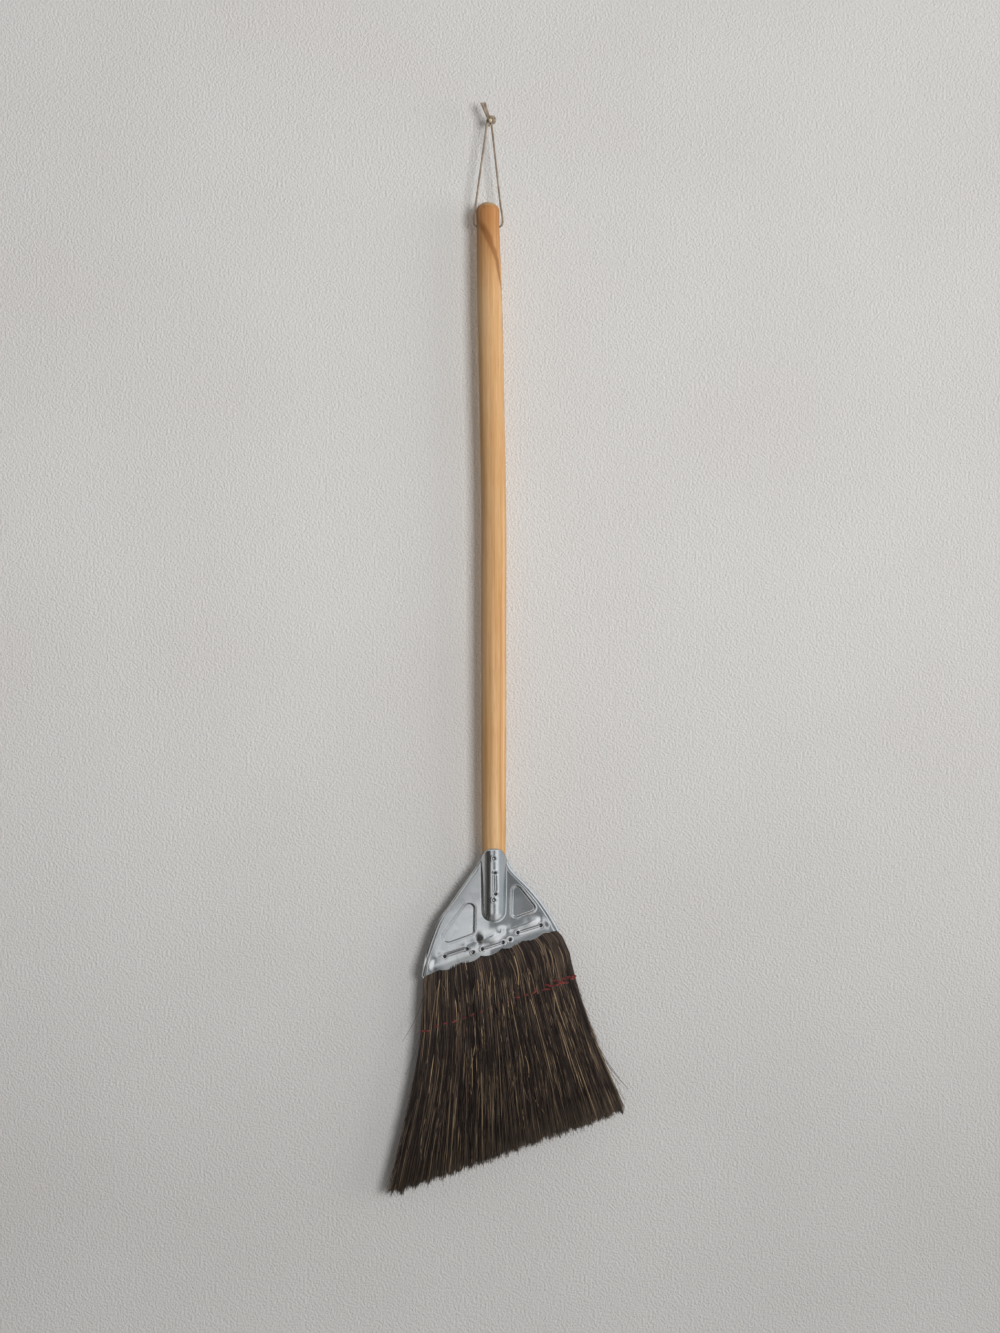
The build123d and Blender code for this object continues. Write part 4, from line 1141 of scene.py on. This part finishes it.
def fibre_mesh(lines, tones, sizes, radius, roundness=0):
    """Tapered fibres as one mesh; each point knows its fibre's tone and how far along it lies."""
    mesh = strands(lines, radius * MM, roundness, thinning=lambda share: 1.0 - 0.45 * share, sizes=sizes)
    around = len(mesh.vertices) // sum(len(line) for line in lines)
    values = []
    for line, tone in zip(lines, tones):
        for index in range(len(line)):
            values += [tone, index / (len(line) - 1), 0.0, 1.0] * around
    shade = mesh.attributes.new("fibre", "FLOAT_COLOR", "POINT")
    shade.data.foreach_set("color", values)
    return mesh


def palm_fibre():
    """Palm fibre: dry, dark brown plant hair with a faint sheen along it; here and there one is tan or
    golden, and all are a little paler and greyer where the tips are worn."""
    material, tree, place = new_material("palm_fibre")
    parts = node(tree, "SeparateColor", node(tree, "Attribute", attribute_name="fibre").outputs["Color"])
    stain = node(tree, "TexNoise", place, Scale=70.0, Detail=2.0)      # 14 mm across
    stained = node(tree, "MapRange", stain, 0.0, 1.0, -0.09, 0.09)
    tone = node(tree, "Math", parts, stained, operation="ADD")
    colour = node(tree, "ValToRGB", tone,
                  stops=[(0.05, "100C0A"), (0.30, "281F1D"), (0.48, "453A33"), (0.68, "7B6957"),
                         (0.95, "BDA27E")])
    worn = node(tree, "MapRange", parts.outputs[1], 0.9, 1.0, 0.0, 0.35)
    tipped = node(tree, "Mix", worn, colour, "6E6256", data_type="RGBA")
    return surfaced(material, {"Base Color": tipped, "Roughness": 0.48, "Specular IOR Level": 0.35})


palm = palm_fibre()
for hank in range(HANKS):
    for layer, count, steps in (("inner", INNER_FIBRES, INNER_STEPS), ("outer", OUTER_FIBRES, OUTER_STEPS)):
        seed = 100 + hank + 10 * len(steps)
        mesh = fibre_mesh(*fibre_lines(hank, count, steps, layer == "outer", seed), FIBRE)
        nodes = [f"fibre_hank_{hank + 1}", f"fibre_butt_{hank + 1}"] if layer == "inner" else []
        fibres = piece(f"fibre_hank_{hank + 1}_{layer}", mesh, palm, stands_for=nodes)
        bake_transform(fibres)


# Stray fibres have worked loose at both edges and out of the cut, and some lie crooked over the front.
# The long ones: place across, from where down, for how far, how far aside, and thickness
long_strays = [(0.99, 78, 62, 9.0, 1.3), (0.99, 90, 62, 12.5, 1.4), (0.985, 96, 50, 8.5, 1.2),
               (0.99, 56, 50, 4.5, 1.1), (0.99, 24, 44, 3.0, 1.1), (0.985, 110, 50, 7.0, 1.2),
               (0.01, 8, 40, -19.0, 0.9), (0.01, 30, 46, -12.0, 0.8), (0.02, 118, 44, -7.0, 1.2),
               (0.03, 122, 44, -4.5, 1.3), (0.01, 96, 68, -7.5, 1.3), (0.015, 104, 60, -6.0, 1.2),
               (0.02, 100, 64, -4.5, 1.3), (0.01, 112, 52, -3.0, 1.2)]
EDGE_STRAYS = 150
FRONT_STRAYS = 620
draw = random.Random(77)
lines, tones, sizes = [], [], []
for number in range(EDGE_STRAYS):
    right = number % 5 > 2
    root = draw.uniform(0.965, 0.995) if right else draw.uniform(0.002, 0.035)
    begin = draw.uniform(20, 130) if right else 142 - 90 * draw.random() ** 2
    long_strays.append((root, begin, draw.uniform(18, 50), draw.uniform(0.5, 4.5) * (1 if right else -1.9),
                        draw.uniform(0.8, 1.3)))
eighths = [index / 8 for index in range(9)]
for root, begin, reach, bow, size in long_strays:
    level = draw.uniform(-0.6, 0.9)
    reach = min(reach, CUT_BELOW + 1.5 - begin)
    lines.append([(fibre_place(root, level, begin + reach * share) + along * bow * share ** 2) * MM
                  for share in eighths])
    tones.append(draw.uniform(0.15, 0.6) if root > 0.5 else draw.uniform(0.3, 0.8))
    sizes.append(size)
for number in range(FRONT_STRAYS):
    root = draw.uniform(0.05, 0.95)
    begin, reach = draw.uniform(2, 128), draw.uniform(16, 50)
    slant, bow = draw.gauss(0.0, 0.022), draw.gauss(0, 1.6)
    side = 1.0 if number % 4 else -1.0
    line = []
    for share in eighths:
        below = min(begin + reach * share, CUT_BELOW + 1)
        arch = sin(pi * share)
        line.append((fibre_place(parted(root, below) + slant * share, side * (arch * 0.11 + 0.93), below)
                     + along * bow * arch) * MM)
    lines.append(line)
    tones.append(draw.choice((0.08, 0.12, 0.40, 0.48, 0.56, 0.64, 0.72, 0.92)))
    sizes.append(draw.uniform(0.9, 1.5))
strays = piece("stray_fibres", fibre_mesh(lines, tones, sizes, FIBRE, 1), palm)
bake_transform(strays)


# ---------- stitching
# One row of red cotton thread, two plies thick, is sewn right round the brush to keep it flat. On the
# left the stitches lie apart, in the middle fibres have worked over them, and on the right they overlap.
STITCH_BELOW = 45.0
THREAD = 1.9
THREAD_LAY = 4.0


def red_thread():
    """Madder-red cotton thread, softly twisted, faded in spots."""
    material, tree, place = new_material("red_thread")
    # Faded spots 4 mm long. The fuzz is drawn 0.3 mm thick, coarser than it is, so that it shows
    faded = node(tree, "TexNoise", place, Scale=260.0, Detail=3.0)
    fuzz = node(tree, "TexNoise", place, Scale=3200.0, Detail=2.0)
    colour = node(tree, "ValToRGB", faded, stops=[(0.3, "431819"), (0.52, "6B2626"), (0.72, "96433D")])
    bump = node(tree, "Bump", Height=fuzz, Strength=0.5, Distance=0.0002)
    return surfaced(material, {"Base Color": colour, "Normal": bump, "Roughness": 0.8, "Sheen Weight": 0.2})


def stitch_line(start, end, side, height, drift, lower):
    """One stitch from hole to hole: it comes out, lies over the fibre and goes in again."""
    line = []
    for share in eighths:
        rise = min(1.0, sin(pi * min(max(share, 0.02), 0.98)) * 1.9)
        below = STITCH_BELOW + lower + drift * (share - 0.5)
        place = fibre_place(start + (end - start) * share, side, below)
        place.y -= side * (height * rise - 1.3 * (1 - rise))
        line.append(place * MM)
    return line


draw = random.Random(5)
row = []
for side in (1, -1):
    share = 0.012
    while share < 0.97:
        crowded = share > 0.73
        length = draw.uniform(0.060, 0.076) if crowded else draw.uniform(0.032, 0.042)
        sunk = 0.9 * exp(-((share - 0.45) / 0.15) ** 4)
        height = 0.7 - sunk + draw.uniform(-0.3, 0.1)
        drift = draw.uniform(1.5, 5.5) if crowded else draw.uniform(-2.4, 2.4)
        lower = draw.uniform(-1.7, 1.7) if crowded else draw.gauss(0, 0.7)
        row.append(stitch_line(share, min(0.992, share + length), side, height, drift, lower))
        share += draw.uniform(0.022, 0.034) if crowded else draw.uniform(0.053, 0.064)
# Where the thread turns round the two edges, and a slack loop that stands off at the right
for edge, outwards in ((0.0, -1), (1.0, 1)):
    turn = [fibre_place(edge, level, STITCH_BELOW + lean) + along * outwards * bulge
            for level, bulge, lean in ((1.5, -2.5, 0.6), (1.3, 0.1, 0.3), (0.6, 0.8, 0.0), (-0.6, 0.8, 0.0),
                                       (-1.3, 0.1, -0.3), (-1.5, -2.5, -0.6))]
    row.append([point * MM for point in turn])
loop_out = [fibre_place(0.985, 1.6, STITCH_BELOW + lean) + along * bulge
            for lean, bulge in ((0.5, -2.5), (-0.6, 0.4), (-1.8, 1.9), (-0.4, 2.4), (0.9, 1.3), (0.8, -1.6))]
row.append([point * MM for point in loop_out])
plies = []
for points in row:
    laid, thread_radius = laid_plies(spaced(smooth_line(points), 0.5 * MM), THREAD * MM, THREAD_LAY * MM, 2)
    plies += laid
thread = piece("red_stitching", strands(plies, thread_radius, 1), red_thread(),
               stands_for=["stitching"])
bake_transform(thread)
